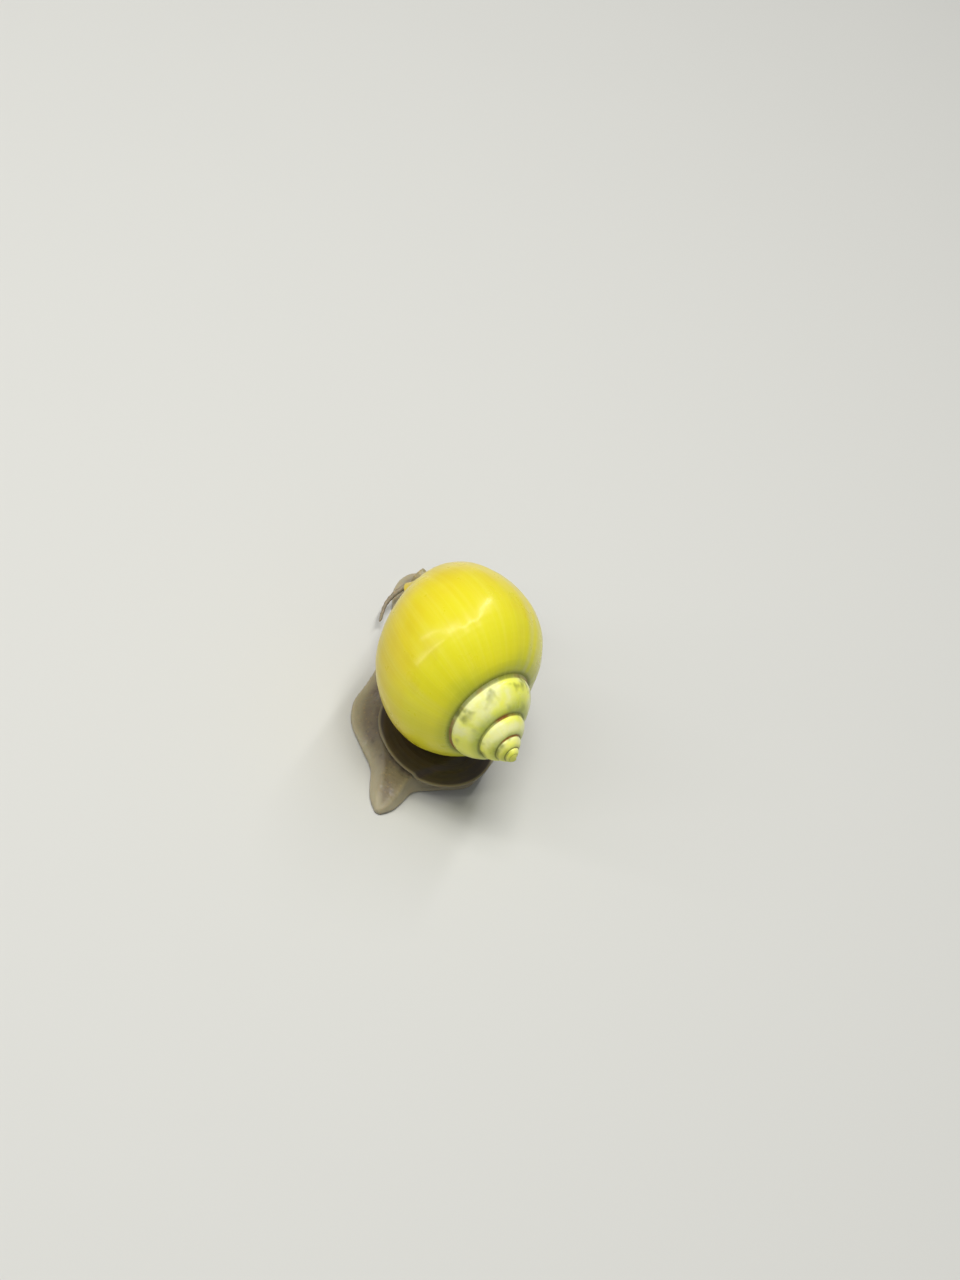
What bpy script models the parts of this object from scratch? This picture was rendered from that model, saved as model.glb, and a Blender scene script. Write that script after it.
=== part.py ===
"""Gold apple snail crawling, life size, parted into its own anatomy.

The origin is on the sole, near its middle. The head is towards -Y, the animal's
left is +X and +Z is up. The shell is dextral: seen from its apex it grows clockwise.
"""

import math

import bmesh
import bpy
import numpy as np
from mathutils import Vector

MM = 0.001
GAP = 0.3 * MM
WHOLE_TURN = 2 * math.pi
HALVINGS = 40
SAME_PLACE = 0.002 * MM
SHARP_EDGE = math.radians(50)

# Shell, measured at its lip: distances from the axis and from the apex along it
SHELL_APEX = Vector((-16.8, 22.7, 19.9)) * MM
SPIRE_TO_RIGHT = math.radians(51.1)
SPIRE_RISE = math.radians(6.2)
LIP_FROM_TOP = math.radians(112.5)
WHORL_GROWTH = 1.8
WHORLS = 5
MOUTH_FROM_AXIS = 6.8 * MM
MOUTH_FROM_APEX = 27.2 * MM
MOUTH_OUTER_WIDTH = 12.35 * MM
MOUTH_INNER_WIDTH = 6.3 * MM
MOUTH_UPPER_HEIGHT = 15.4 * MM
MOUTH_BASE_HEIGHT = 16.75 * MM
MOUTH_TILT = math.radians(3)
MOUTH_SQUARENESS = 2.07
SHOULDER_SPAN = (math.radians(-105), 0.0)
SHOULDER_FALL = 0.07
SHELL_WALL = 0.9 * MM
RECESS_TURN = math.radians(22)
RECESS_ROWS = 4
WHORL_STEPS = 32
SPIRE_ARC_STEPS = 12
BASE_ARC_STEPS = 15
SUTURE_SEARCH = (math.radians(-120), math.radians(-60))
COVER_SEARCH = (math.radians(-40), math.radians(30))
SUTURE_DEPTH = 0.52 * MM
SUTURE_SPREAD = 0.26
CHANNEL_FADE_STEPS = 4
BASE_END = math.radians(142)
UMBILICUS_DEPTH = 1.6 * MM
PARIETAL_CLEARANCE = 1.05
RAY_STEP = 0.25 * MM
APEX_CAP_SHARE = 0.6

# Free part of the mouth, which the mantle fills
MANTLE_FROM_AXIS = 11.0 * MM
MANTLE_FROM_APEX = 31.9 * MM
MANTLE_CLEARANCE = 0.35 * MM
MANTLE_PAST_LIP = math.radians(2.5)
MANTLE_FLOOR_TURN = math.radians(3.5)
MANTLE_SIDES = 36
MANTLE_RINGS = 5
PARIETAL_SPREAD = 8.0 * MM

# Foot: place along the body, half width, middle line and height of the back
FOOT_STATIONS = (
    (29.7, 0.5, -1.0, 1.0),
    (28.0, 1.9, -0.9, 1.6),
    (24.8, 3.2, -0.7, 2.5),
    (21.7, 4.3, -0.5, 3.1),
    (19.2, 7.0, -0.7, 3.5),
    (15.6, 10.9, -1.0, 3.6),
    (11.2, 12.6, -0.9, 3.6),
    (5.5, 12.9, -1.4, 3.6),
    (-1.0, 12.7, -1.2, 3.6),
    (-7.0, 12.8, -0.4, 3.6),
    (-13.0, 13.3, 0.9, 3.6),
    (-18.0, 13.8, 2.1, 3.0),
    (-21.4, 13.1, 2.6, 2.2),
    (-23.8, 11.5, 2.9, 1.6),
    (-25.4, 9.3, 3.0, 1.2),
    (-26.4, 6.9, 3.1, 1.0),
    (-26.9, 4.6, 3.1, 0.95),
)
FOOT_MARGIN = 0.9 * MM
SOLE_PLACES = (-0.95, -0.5, 0.0, 0.5, 0.95)
FOOT_EDGE_RISE = 0.45
FOOT_TOP_REACH = 0.97
FOOT_PLATEAU = 0.55
FOOT_SHOULDER = 0.94
FOOT_TOP_POINTS = 15
FOOT_SPLITS = (9.0 * MM, -13.6 * MM)
FOOT_RING_STEP = 1.3 * MM
FOOT_BACK = 3.6 * MM

# Operculum: horny plate on the tail
OPERCULUM_MIDDLE = Vector((-3.3, 10.6)) * MM
OPERCULUM_HALF_LENGTH = 10.9 * MM
OPERCULUM_HALF_WIDTH = 10.5 * MM
OPERCULUM_THICKNESS = 0.8 * MM
OPERCULUM_DOME = 1.2 * MM
OPERCULUM_CLEARANCE = 0.36 * MM
OPERCULUM_SIDES = 40
OPERCULUM_RINGS = (0.0, 0.35, 0.6, 0.8, 0.92, 1.0)

# Body column between the foot and the mantle
COLUMN_MIDDLE = Vector((0.4, -8.6)) * MM
COLUMN_HALF_WIDTH = 6.3 * MM
COLUMN_HALF_LENGTH = 6.1 * MM
COLUMN_TOP_SHARE = 0.92
COLUMN_SIDES = 28
COLUMN_RINGS = 7

# Neck, head and snout: place, half width and half height along the middle line
HEAD_STATIONS = (
    (0.5, -10.6, 6.3, 4.4, 2.5),
    (0.9, -14.0, 6.7, 4.8, 2.7),
    (1.5, -17.5, 6.9, 4.6, 2.8),
    (2.2, -20.5, 6.5, 4.5, 2.9),
    (2.7, -23.0, 5.7, 3.9, 2.7),
    (3.1, -25.2, 4.7, 3.1, 2.2),
    (3.3, -26.6, 4.0, 2.5, 1.7),
    (3.4, -27.4, 3.6, 1.5, 1.0),
)
NECK_SPAN = (0.0, 0.46)
HEAD_SPAN = (0.46, 0.76)
SNOUT_SPAN = (0.76, 1.0)
HEAD_SIDES = 20
HEAD_SQUARENESS = 2.3
HEAD_READINGS = 61
HEAD_RINGS = 20

# Lips and mouth at the end of the snout
LIP_MIDDLE = Vector((3.35, -26.9, 3.1)) * MM
LIP_RADII = Vector((0.85, 0.75, 1.25)) * MM
LIP_SPACING = 0.62 * MM
LIP_SIDES = (14, 8)
MOUTH_SLIT = Vector((0.4, 2.4, 2.0)) * MM
MOUTH_SLIT_AHEAD = 1.2 * MM

# Feelers: paths from the root inside the head out to the tip
TENTACLE_PATHS = {
    "left": ((4.2, -21.2, 7.2), (6.4, -22.0, 8.2), (9.0, -21.6, 7.4), (11.9, -19.4, 5.4),
             (14.5, -15.9, 3.8), (15.6, -11.6, 2.8), (15.0, -7.8, 2.2)),
    "right": ((0.6, -21.3, 7.2), (-1.4, -22.6, 8.2), (-4.2, -23.4, 7.8), (-7.4, -22.2, 6.4),
              (-9.9, -19.2, 4.8), (-11.4, -15.2, 3.6), (-10.7, -11.0, 3.0)),
}
TENTACLE_RADII = (0.95 * MM, 0.3 * MM)
TENTACLE_PIECES = ("base", "middle", "tip")
PALP_PATHS = {
    "left": ((4.2, -25.6, 4.3), (5.6, -26.3, 3.8), (6.9, -27.0, 2.7), (7.7, -27.5, 1.5)),
    "right": ((2.2, -25.8, 4.3), (0.9, -26.8, 3.8), (-0.4, -27.9, 2.7), (-1.3, -28.6, 1.5)),
}
PALP_RADII = (0.85 * MM, 0.3 * MM)
FEELER_SIDES = 10
TUBE_READINGS = 49
TUBE_RINGS = 18
TIP_ROUNDING = ((0.75, 0.65), (0.35, 0.95))

# Eyes on short stalks at the outer root of each feeler
EYE_STALK_PATHS = {
    "left": ((4.4, -19.8, 7.4), (6.3, -19.6, 8.5), (8.1, -19.3, 9.5)),
    "right": ((0.0, -19.8, 7.4), (-1.9, -19.6, 8.5), (-3.7, -19.3, 9.5)),
}
EYE_STALK_RADII = (1.25 * MM, 1.0 * MM)
EYE_STALK_SIDES = 12
EYE_RADIUS = 0.6 * MM
EYE_PAST_STALK = 0.9
EYE_SIDES = (14, 10)

# Nuchal lobes: the left one is rolled into the breathing siphon, the right one is a low gutter.
# Radii are at the root, the waist and the tip, and middle is the way the fold's back faces.
LOBES = {
    "siphon": {"path": ((3.4, -13.6, 6.8), (6.8, -14.7, 7.1), (10.2, -15.6, 7.3), (13.4, -16.5, 7.6)),
               "radii": (2.4 * MM, 1.5 * MM, 1.9 * MM), "arc": math.radians(285), "middle": math.radians(90)},
    "nuchal_lobe_right": {"path": ((-2.2, -13.6, 6.6), (-5.2, -14.8, 6.9), (-8.0, -16.4, 6.8)),
                          "radii": (2.3 * MM, 2.2 * MM, 1.5 * MM), "arc": math.radians(150),
                          "middle": math.radians(-90)},
}
LOBE_WALL = 0.8 * MM
LOBE_READINGS = 25
LOBE_RINGS = 9
LOBE_ARC_STEPS = 10

COLOURS = {
    "shell": ((0.72, 0.62, 0.05), 0.32),
    "horn": ((0.22, 0.12, 0.07), 0.45),
    "flesh": ((0.42, 0.33, 0.26), 0.5),
    "mantle": ((0.50, 0.42, 0.26), 0.45),
    "eye": ((0.02, 0.02, 0.02), 0.15),
}


def clear_scene():
    """Take away whatever the scene holds."""
    for thing in list(bpy.data.objects):
        bpy.data.objects.remove(thing, do_unlink=True)


def material(name):
    """The named finish, made once."""
    found = bpy.data.materials.get(name)
    if found:
        return found
    colour, roughness = COLOURS[name]
    made = bpy.data.materials.new(name)
    made.use_nodes = True
    shader = made.node_tree.nodes["Principled BSDF"]
    shader.inputs["Base Color"].default_value = (*colour, 1.0)
    shader.inputs["Roughness"].default_value = roughness
    return made


def ring_solid(name, rings):
    """A closed solid through rings of points, with both end rings filled."""
    mesh = bpy.data.meshes.new(name)
    body = bmesh.new()
    loops = [[body.verts.new(point) for point in ring] for ring in rings]
    for near, far in zip(loops, loops[1:]):
        for i in range(len(near)):
            j = (i + 1) % len(near)
            body.faces.new((near[i], near[j], far[j], far[i]))
    body.faces.new(list(reversed(loops[0])))
    body.faces.new(loops[-1])
    bmesh.ops.recalc_face_normals(body, faces=body.faces)
    body.to_mesh(mesh)
    body.free()
    solid = bpy.data.objects.new(name, mesh)
    bpy.context.scene.collection.objects.link(solid)
    return solid


def bake(solid):
    """Apply the modifiers of a solid and keep its largest closed surface."""
    bpy.context.view_layer.update()
    seen = solid.evaluated_get(bpy.context.evaluated_depsgraph_get())
    mesh = bpy.data.meshes.new_from_object(seen)
    solid.modifiers.clear()
    solid.data = mesh
    keep_largest(solid)


def keep_largest(solid):
    """Drop every closed surface of a solid but the largest."""
    body = bmesh.new()
    body.from_mesh(solid.data)
    bmesh.ops.remove_doubles(body, verts=body.verts, dist=SAME_PLACE)
    bmesh.ops.triangulate(body, faces=body.faces)
    left = set(body.faces)
    islands = []
    while left:
        island = set()
        edge = [left.pop()]
        while edge:
            face = edge.pop()
            island.add(face)
            for near in (n for e in face.edges for n in e.link_faces if n in left):
                left.discard(near)
                edge.append(near)
        islands.append(island)
    islands.sort(key=lambda island: sum(face.calc_area() for face in island))
    spare = [face for island in islands[:-1] for face in island]
    bmesh.ops.delete(body, geom=spare, context="FACES")
    body.to_mesh(solid.data)
    body.free()


def combine(solid, others, way):
    """Unite the solid with others, or cut them away, by one Boolean on a collection."""
    pieces = bpy.data.collections.new(solid.name + "_pieces")
    bpy.context.scene.collection.children.link(pieces)
    for other in others:
        pieces.objects.link(other)
    join = solid.modifiers.new("Join", "BOOLEAN")
    join.operation = way
    join.operand_type = "COLLECTION"
    join.collection = pieces
    bake(solid)
    for other in others:
        bpy.data.objects.remove(other, do_unlink=True)
    bpy.data.collections.remove(pieces)


def finish(solid, finish_name):
    """Give a solid its material, and smooth shading between its sharp edges."""
    solid.data.materials.clear()
    solid.data.materials.append(material(finish_name))
    solid.data.shade_smooth()
    solid.data.set_sharp_from_angle(angle=SHARP_EDGE)
    return solid


def smooth_rows(rows, count):
    """Rows of numbers read at even steps along a smooth curve through the given rows."""
    table = np.array(rows, float)
    steps = np.linalg.norm(np.diff(table[:, :3], axis=0), axis=1)
    along = np.concatenate(([0.0], np.cumsum(steps)))
    slope = np.gradient(table, along, axis=0)
    return np.array([hermite(table, slope, along, at) for at in np.linspace(0, along[-1], count)])


def hermite(table, slope, along, at):
    """One row of the smooth curve, at a distance along it."""
    i = int(np.clip(np.searchsorted(along, at) - 1, 0, len(along) - 2))
    span = along[i + 1] - along[i]
    t = (at - along[i]) / span
    before = (1 + 2 * t) * (1 - t) ** 2 * table[i] + t * (1 - t) ** 2 * span * slope[i]
    after = t * t * (3 - 2 * t) * table[i + 1] + t * t * (t - 1) * span * slope[i + 1]
    return before + after


def across(path, i):
    """Two unit vectors square to a path at one of its points: sideways and upwards."""
    ahead = Vector(path[min(i + 1, len(path) - 1)]) - Vector(path[max(i - 1, 0)])
    ahead.normalize()
    side = ahead.cross(Vector((0, 0, 1))).normalized()
    return side, side.cross(ahead)


def oval(squareness, angle):
    """A point of a unit oval: an ellipse that grows squarer as the number passes 2."""
    power = 2 / squareness
    c, s = math.cos(angle), math.sin(angle)
    return math.copysign(abs(c) ** power, c), math.copysign(abs(s) ** power, s)


def shell_directions():
    """The axis towards the apex, and two directions square to it: top and clockwise side."""
    level = math.cos(SPIRE_RISE)
    axis = Vector((-level * math.sin(SPIRE_TO_RIGHT), level * math.cos(SPIRE_TO_RIGHT), math.sin(SPIRE_RISE)))
    top = Vector((0, 0, 1)) - axis * axis.z
    top.normalize()
    return axis, top, top.cross(axis)


def shell_point(turn, from_axis, from_apex):
    """A point of the spiral, a turn before or past the lip, with sizes as at the lip."""
    axis, top, side = shell_directions()
    scale = WHORL_GROWTH ** (turn / WHOLE_TURN)
    angle = LIP_FROM_TOP + turn
    out = top * math.cos(angle) + side * math.sin(angle)
    return SHELL_APEX + (out * from_axis - axis * from_apex) * scale


def half_sizes(u, v):
    """The section's half width and half height on the side where a place lies."""
    wide = MOUTH_OUTER_WIDTH if u > 0 else MOUTH_INNER_WIDTH
    high = MOUTH_BASE_HEIGHT if v > 0 else MOUTH_UPPER_HEIGHT
    return wide, high


def shoulder(angle):
    """The share of its size that the section keeps at an angle: less on the sloping shoulder."""
    start, stop = SHOULDER_SPAN
    share = min(max((angle - start) / (stop - start), 0.0), 1.0)
    return 1 - SHOULDER_FALL * math.sin(math.pi * share) ** 2


def section_place(angle):
    """A place on the whorl's section: its distances from the axis and from the apex."""
    u, v = oval(MOUTH_SQUARENESS, angle)
    wide, high = half_sizes(u, v)
    u *= wide * shoulder(angle)
    v *= high * shoulder(angle)
    c, s = math.cos(MOUTH_TILT), math.sin(MOUTH_TILT)
    return Vector((MOUTH_FROM_AXIS + u * c - v * s, MOUTH_FROM_APEX + u * s + v * c))


def depth_in_section(place, inset=0.0):
    """How far a place lies towards the edge of the section: 1 on its outline, less inside."""
    c, s = math.cos(MOUTH_TILT), math.sin(MOUTH_TILT)
    off = place - Vector((MOUTH_FROM_AXIS, MOUTH_FROM_APEX))
    u, v = off.x * c + off.y * s, off.y * c - off.x * s
    wide, high = half_sizes(u, v)
    across = (abs(u) / (wide - inset)) ** MOUTH_SQUARENESS
    along = (abs(v) / (high - inset)) ** MOUTH_SQUARENESS
    angle = math.atan2(math.copysign(math.sqrt(along), v), math.copysign(math.sqrt(across), u))
    return (across + along) ** (1 / MOUTH_SQUARENESS) / shoulder(angle)


def bisect(rule, low, high):
    """The place between two numbers where a rule changes sign."""
    for _ in range(HALVINGS):
        middle = (low + high) / 2
        if (rule(middle) > 0) == (rule(high) > 0):
            high = middle
        else:
            low = middle
    return (low + high) / 2


def suture_angles():
    """Where a whorl's section leaves the whorl before, and where the next one covers it."""
    start = bisect(lambda angle: depth_in_section(section_place(angle) * WHORL_GROWTH) - 1, *SUTURE_SEARCH)
    covered = section_place(start) * WHORL_GROWTH
    end = bisect(lambda angle: section_place(angle).y - covered.y, *COVER_SEARCH)
    return start, end


def arc_places(start, end, count):
    """Places along the whorl's section between two of its angles."""
    return [section_place(start + (end - start) * i / count) for i in range(count + 1)]


def channelled(places):
    """Places from suture to suture, sunk at both ends so that each whorl bulges between them."""
    middle = Vector((MOUTH_FROM_AXIS, MOUTH_FROM_APEX))
    sunk = []
    for i, place in enumerate(places):
        share = i / (len(places) - 1)
        near = max(1 - share / SUTURE_SPREAD, 0.0) ** 2
        far = max(1 - (1 - share) / SUTURE_SPREAD, 0.0) ** 2
        sunk.append(place - (place - middle).normalized() * SUTURE_DEPTH * (near + far * WHORL_GROWTH))
    return sunk


def in_hollow(place, clear):
    """Whether a place lies in the hollow of the mouth, clear of the wall and the whorl before."""
    if depth_in_section(place, SHELL_WALL + clear) >= 1:
        return False
    return depth_in_section(place * WHORL_GROWTH) > PARIETAL_CLEARANCE + clear / PARIETAL_SPREAD


def hollow_edge(way, clear=0.0):
    """Where a ray from the middle of the free mouth meets the wall of the hollow, or near it."""
    middle = Vector((MANTLE_FROM_AXIS, MANTLE_FROM_APEX))
    far = 0.0
    while in_hollow(middle + way * (far + RAY_STEP), clear):
        far += RAY_STEP
    edge = bisect(lambda d: -1.0 if in_hollow(middle + way * d, clear) else 1.0, far, far + RAY_STEP)
    return middle + way * edge


def make_shell():
    """The shell as one closed surface: a spiral strip from suture to suture, base and mouth."""
    body = bmesh.new()
    start, end = suture_angles()
    spire = arc_places(start, end, SPIRE_ARC_STEPS)
    base = arc_places(end, BASE_END, BASE_ARC_STEPS)[1:]
    sunk = channelled(spire)
    last = WHORLS * WHORL_STEPS
    body_whorl = last - WHORL_STEPS
    turns = [WHOLE_TURN * (i - last) / WHORL_STEPS for i in range(last + 1)]
    rows = []
    for i, turn in enumerate(turns):
        fade = min(max((i - body_whorl) / CHANNEL_FADE_STEPS, 0.0), 1.0)
        row = []
        for k in range(SPIRE_ARC_STEPS):
            place = sunk[k].lerp(spire[k], fade * k / SPIRE_ARC_STEPS)
            row.append(body.verts.new(shell_point(turn, place.x, place.y)))
        rows.append(row)
    for i, row in enumerate(rows):
        if i <= body_whorl:
            row.append(rows[i + WHORL_STEPS][0])
        else:
            row.append(body.verts.new(shell_point(turns[i], spire[-1].x, spire[-1].y)))
        if i >= body_whorl:
            row.extend(body.verts.new(shell_point(turns[i], p.x, p.y)) for p in base)
            row.append(body.verts.new(shell_point(turns[i], 0.0, base[-1].y - UMBILICUS_DEPTH)))
    for i in range(last):
        width = len(rows[i]) if i >= body_whorl else SPIRE_ARC_STEPS + 1
        for k in range(width - 1):
            body.faces.new((rows[i][k], rows[i][k + 1], rows[i + 1][k + 1], rows[i + 1][k]))
    close_apex(body, rows)
    hollow_mouth(body, mouth_edge(rows, body_whorl))
    bmesh.ops.recalc_face_normals(body, faces=body.faces)
    mesh = bpy.data.meshes.new("shell")
    body.to_mesh(mesh)
    body.free()
    shell = bpy.data.objects.new("shell", mesh)
    bpy.context.scene.collection.objects.link(shell)
    return finish(shell, "shell")


def close_apex(body, rows):
    """Fill the start of the spiral with a low cap."""
    rim = [row[0] for row in rows[:WHORL_STEPS + 1]] + list(reversed(rows[0][1:-1]))
    axis = shell_directions()[0]
    depth = (SHELL_APEX - rows[0][0].co).dot(axis) * APEX_CAP_SHARE
    tip = body.verts.new(SHELL_APEX - axis * depth)
    for near, far in zip(rim, rim[1:] + rim[:1]):
        body.faces.new((near, far, tip))


def mouth_edge(rows, body_whorl):
    """The edge of the mouth: round the lip, up the axis and back over the whorl before."""
    axis_line = [row[-1] for row in reversed(rows[body_whorl:-1])]
    parietal = list(reversed(rows[body_whorl][SPIRE_ARC_STEPS + 1:-1]))
    return rows[-1] + axis_line + parietal


def hollow_mouth(body, edge):
    """Sink a shallow hollow into the mouth, leaving the lip and the columella as its wall."""
    middle = Vector((MANTLE_FROM_AXIS, MANTLE_FROM_APEX))
    places = []
    for vert in edge:
        place = spiral_place(vert.co)
        places.append(hollow_edge((place - middle).normalized()))
    ring = edge
    for i in range(RECESS_ROWS + 1):
        turn = -RECESS_TURN * i / RECESS_ROWS
        inner = [body.verts.new(shell_point(turn, p.x, p.y)) for p in places]
        for k in range(len(ring)):
            j = (k + 1) % len(ring)
            body.faces.new((ring[k], ring[j], inner[j], inner[k]))
        ring = inner
    floor = body.verts.new(shell_point(-RECESS_TURN, middle.x, middle.y))
    for k in range(len(ring)):
        body.faces.new((ring[k], ring[(k + 1) % len(ring)], floor))


def spiral_place(point):
    """Distances of a point from the axis and from the apex."""
    axis = shell_directions()[0]
    off = point - SHELL_APEX
    from_apex = -off.dot(axis)
    return Vector(((off + axis * from_apex).length, from_apex))


def mantle_places(count, share=1.0, grow=0.0):
    """Outline of the flesh in the mouth of the shell, clear of its walls by the gap."""
    middle = Vector((MANTLE_FROM_AXIS, MANTLE_FROM_APEX))
    places = []
    for k in range(count):
        angle = WHOLE_TURN * k / count
        way = Vector((math.cos(angle), math.sin(angle)))
        off = hollow_edge(way, MANTLE_CLEARANCE) - middle
        places.append(middle + off * share + way * grow)
    return places


def ball(name, middle, radii, around, high):
    """An ellipsoid as a closed solid."""
    mesh = bpy.data.meshes.new(name)
    body = bmesh.new()
    bmesh.ops.create_uvsphere(body, u_segments=around, v_segments=high, radius=1.0)
    for vert in body.verts:
        vert.co = middle + Vector(a * b for a, b in zip(vert.co, radii))
    body.to_mesh(mesh)
    body.free()
    solid = bpy.data.objects.new(name, mesh)
    bpy.context.scene.collection.objects.link(solid)
    return solid


def make_mantle():
    """The mantle edge: the fleshy plug that fills the mouth of the shell."""
    start = -RECESS_TURN + MANTLE_FLOOR_TURN
    step = (MANTLE_PAST_LIP - start) / (MANTLE_RINGS - 1)
    turns = [start + step * i for i in range(MANTLE_RINGS)]
    rings = [[shell_point(turn, p.x, p.y) for p in mantle_places(MANTLE_SIDES)] for turn in turns]
    return finish(ring_solid("mantle_edge", rings), "mantle")


def foot_at(y):
    """Half width, middle line and back height of the foot at a place along the body."""
    table = np.array(FOOT_STATIONS) * MM
    order = table[::-1]
    slope = np.gradient(order[:, 1:], order[:, 0], axis=0)
    return hermite(order[:, 1:], slope, order[:, 0], y)


def foot_top(x, y):
    """Height of the foot's upper surface at a point."""
    half, middle, back = foot_at(y)
    u = min(abs(x - middle) / half, 1.0)
    fall = min(max((u - FOOT_PLATEAU) / (FOOT_SHOULDER - FOOT_PLATEAU), 0.0), 1.0)
    level = 1 - fall * fall * (3 - 2 * fall)
    return FOOT_MARGIN + max(back - FOOT_MARGIN, 0.0) * level


def foot_ring(y):
    """One cross-section of the foot: flat sole, thin margins and a raised back."""
    half, middle, back = foot_at(y)
    points = [Vector((middle + half * u, y, 0.0)) for u in SOLE_PLACES]
    points.append(Vector((middle + half, y, FOOT_MARGIN * FOOT_EDGE_RISE)))
    for k in range(FOOT_TOP_POINTS):
        u = FOOT_TOP_REACH * math.cos(math.pi * k / (FOOT_TOP_POINTS - 1))
        x = middle + half * u
        points.append(Vector((x, y, foot_top(x, y))))
    points.append(Vector((middle - half, y, FOOT_MARGIN * FOOT_EDGE_RISE)))
    return points


def make_foot():
    """The foot in three lengths: tail, middle and front."""
    ends = [FOOT_STATIONS[0][0] * MM, *FOOT_SPLITS, FOOT_STATIONS[-1][0] * MM]
    names = ("foot_tail", "foot_middle", "foot_front")
    for k, name in enumerate(names):
        start = ends[k] - (GAP / 2 if k else 0.0)
        stop = ends[k + 1] + (GAP / 2 if k < 2 else 0.0)
        count = math.ceil((start - stop) / FOOT_RING_STEP) + 1
        rings = [foot_ring(start + (stop - start) * i / (count - 1)) for i in range(count)]
        finish(ring_solid(name, rings), "flesh")


def make_operculum():
    """The operculum: a thin domed plate that lies on the back of the tail."""
    mesh = bpy.data.meshes.new("operculum")
    body = bmesh.new()
    sheets = []
    for lift in (0.0, OPERCULUM_THICKNESS):
        rows = []
        for share in OPERCULUM_RINGS:
            row = []
            for k in range(OPERCULUM_SIDES if share else 1):
                angle = WHOLE_TURN * k / OPERCULUM_SIDES
                x = OPERCULUM_MIDDLE.x + share * OPERCULUM_HALF_WIDTH * math.cos(angle)
                y = OPERCULUM_MIDDLE.y + share * OPERCULUM_HALF_LENGTH * math.sin(angle)
                dome = FOOT_BACK + OPERCULUM_CLEARANCE - OPERCULUM_DOME * share ** 2
                low = max(foot_top(x, y) + OPERCULUM_CLEARANCE, dome)
                row.append(body.verts.new((x, y, low + lift)))
            rows.append(row)
        sheets.append(rows)
    for rows in sheets:
        for k in range(OPERCULUM_SIDES):
            j = (k + 1) % OPERCULUM_SIDES
            body.faces.new((rows[0][0], rows[1][k], rows[1][j]))
            for inner, outer in zip(rows[1:], rows[2:]):
                body.faces.new((inner[k], outer[k], outer[j], inner[j]))
    for k in range(OPERCULUM_SIDES):
        j = (k + 1) % OPERCULUM_SIDES
        under, over = sheets[0][-1], sheets[1][-1]
        body.faces.new((under[k], under[j], over[j], over[k]))
    bmesh.ops.recalc_face_normals(body, faces=body.faces)
    body.to_mesh(mesh)
    body.free()
    plate = bpy.data.objects.new("operculum", mesh)
    bpy.context.scene.collection.objects.link(plate)
    return finish(plate, "horn")


def column_solid(name, grow=0.0):
    """The body column, from its flat seat on the foot to the mantle in the shell's mouth."""
    top_turn = MANTLE_PAST_LIP + GAP / MANTLE_FROM_AXIS
    upper = [shell_point(top_turn, p.x, p.y) for p in mantle_places(COLUMN_SIDES, COLUMN_TOP_SHARE, grow)]
    centre = sum(upper, Vector()) / COLUMN_SIDES
    bottom_z = FOOT_BACK + GAP
    lower = []
    for point in upper:
        flat = Vector((point.x - centre.x, point.y - centre.y)).normalized()
        half = Vector((COLUMN_HALF_WIDTH + grow, COLUMN_HALF_LENGTH + grow))
        reach = 1 / math.hypot(flat.x / half.x, flat.y / half.y)
        lower.append(Vector((COLUMN_MIDDLE.x + flat.x * reach, COLUMN_MIDDLE.y + flat.y * reach, bottom_z)))
    rings = [[point - Vector((0, 0, grow)) for point in lower]] if grow else []
    for i in range(COLUMN_RINGS):
        t = i / (COLUMN_RINGS - 1)
        ease = t * t * (3 - 2 * t)
        ring = []
        for low, high in zip(lower, upper):
            point = low.lerp(high, ease)
            point.z = low.z + (high.z - low.z) * t
            ring.append(point)
        rings.append(ring)
    return ring_solid(name, rings)


def head_rings(span, grow=0.0):
    """Cross-sections of the neck, head and snout between two shares of their length."""
    rows = smooth_rows(np.array(HEAD_STATIONS) * MM, HEAD_READINGS)
    path = rows[:, :3]
    rings = []
    count = math.ceil((span[1] - span[0]) * HEAD_RINGS) + 1
    for i in range(count):
        at = (span[0] + (span[1] - span[0]) * i / (count - 1)) * (len(rows) - 1)
        k = int(min(at, len(rows) - 2))
        row = rows[k] + (rows[k + 1] - rows[k]) * (at - k)
        side, up = across(path, k)
        ring = []
        for j in range(HEAD_SIDES):
            u, v = oval(HEAD_SQUARENESS, WHOLE_TURN * j / HEAD_SIDES)
            ring.append(Vector(row[:3]) + side * u * (row[3] + grow) + up * v * (row[4] + grow))
        rings.append(ring)
    return rings


def head_span(span):
    """A span of the head's length, short of its neighbours by half the gap at each end."""
    length = abs(HEAD_STATIONS[-1][1] - HEAD_STATIONS[0][1]) * MM
    trim = GAP / 2 / length
    start = span[0] + (trim if span[0] > 0 else 0.0)
    stop = span[1] - (trim if span[1] < 1 else 0.0)
    return start, stop


def make_head():
    """Neck, head and snout, each closed, with the lips and the line of the mouth."""
    neck = ring_solid("neck", head_rings(head_span(NECK_SPAN)))
    combine(neck, [column_solid("column_room", GAP)], "DIFFERENCE")
    finish(neck, "flesh")
    finish(ring_solid("head", head_rings(head_span(HEAD_SPAN))), "flesh")
    snout = ring_solid("snout", head_rings(head_span(SNOUT_SPAN)))
    apart = Vector((LIP_SPACING, 0, 0))
    lips = [ball("lip", LIP_MIDDLE + apart * way, LIP_RADII, *LIP_SIDES) for way in (-1, 1)]
    combine(snout, lips, "UNION")
    combine(snout, [block("slit", LIP_MIDDLE - Vector((0, MOUTH_SLIT_AHEAD, 0)), MOUTH_SLIT)], "DIFFERENCE")
    finish(snout, "flesh")


def block(name, middle, size):
    """A plain box as a closed solid."""
    halves = size / 2
    rings = []
    for way in (-1, 1):
        corners = ((-1, -1), (1, -1), (1, 1), (-1, 1))
        rings.append([middle + Vector((a * halves.x, b * halves.y, way * halves.z)) for a, b in corners])
    return ring_solid(name, rings)


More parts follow.
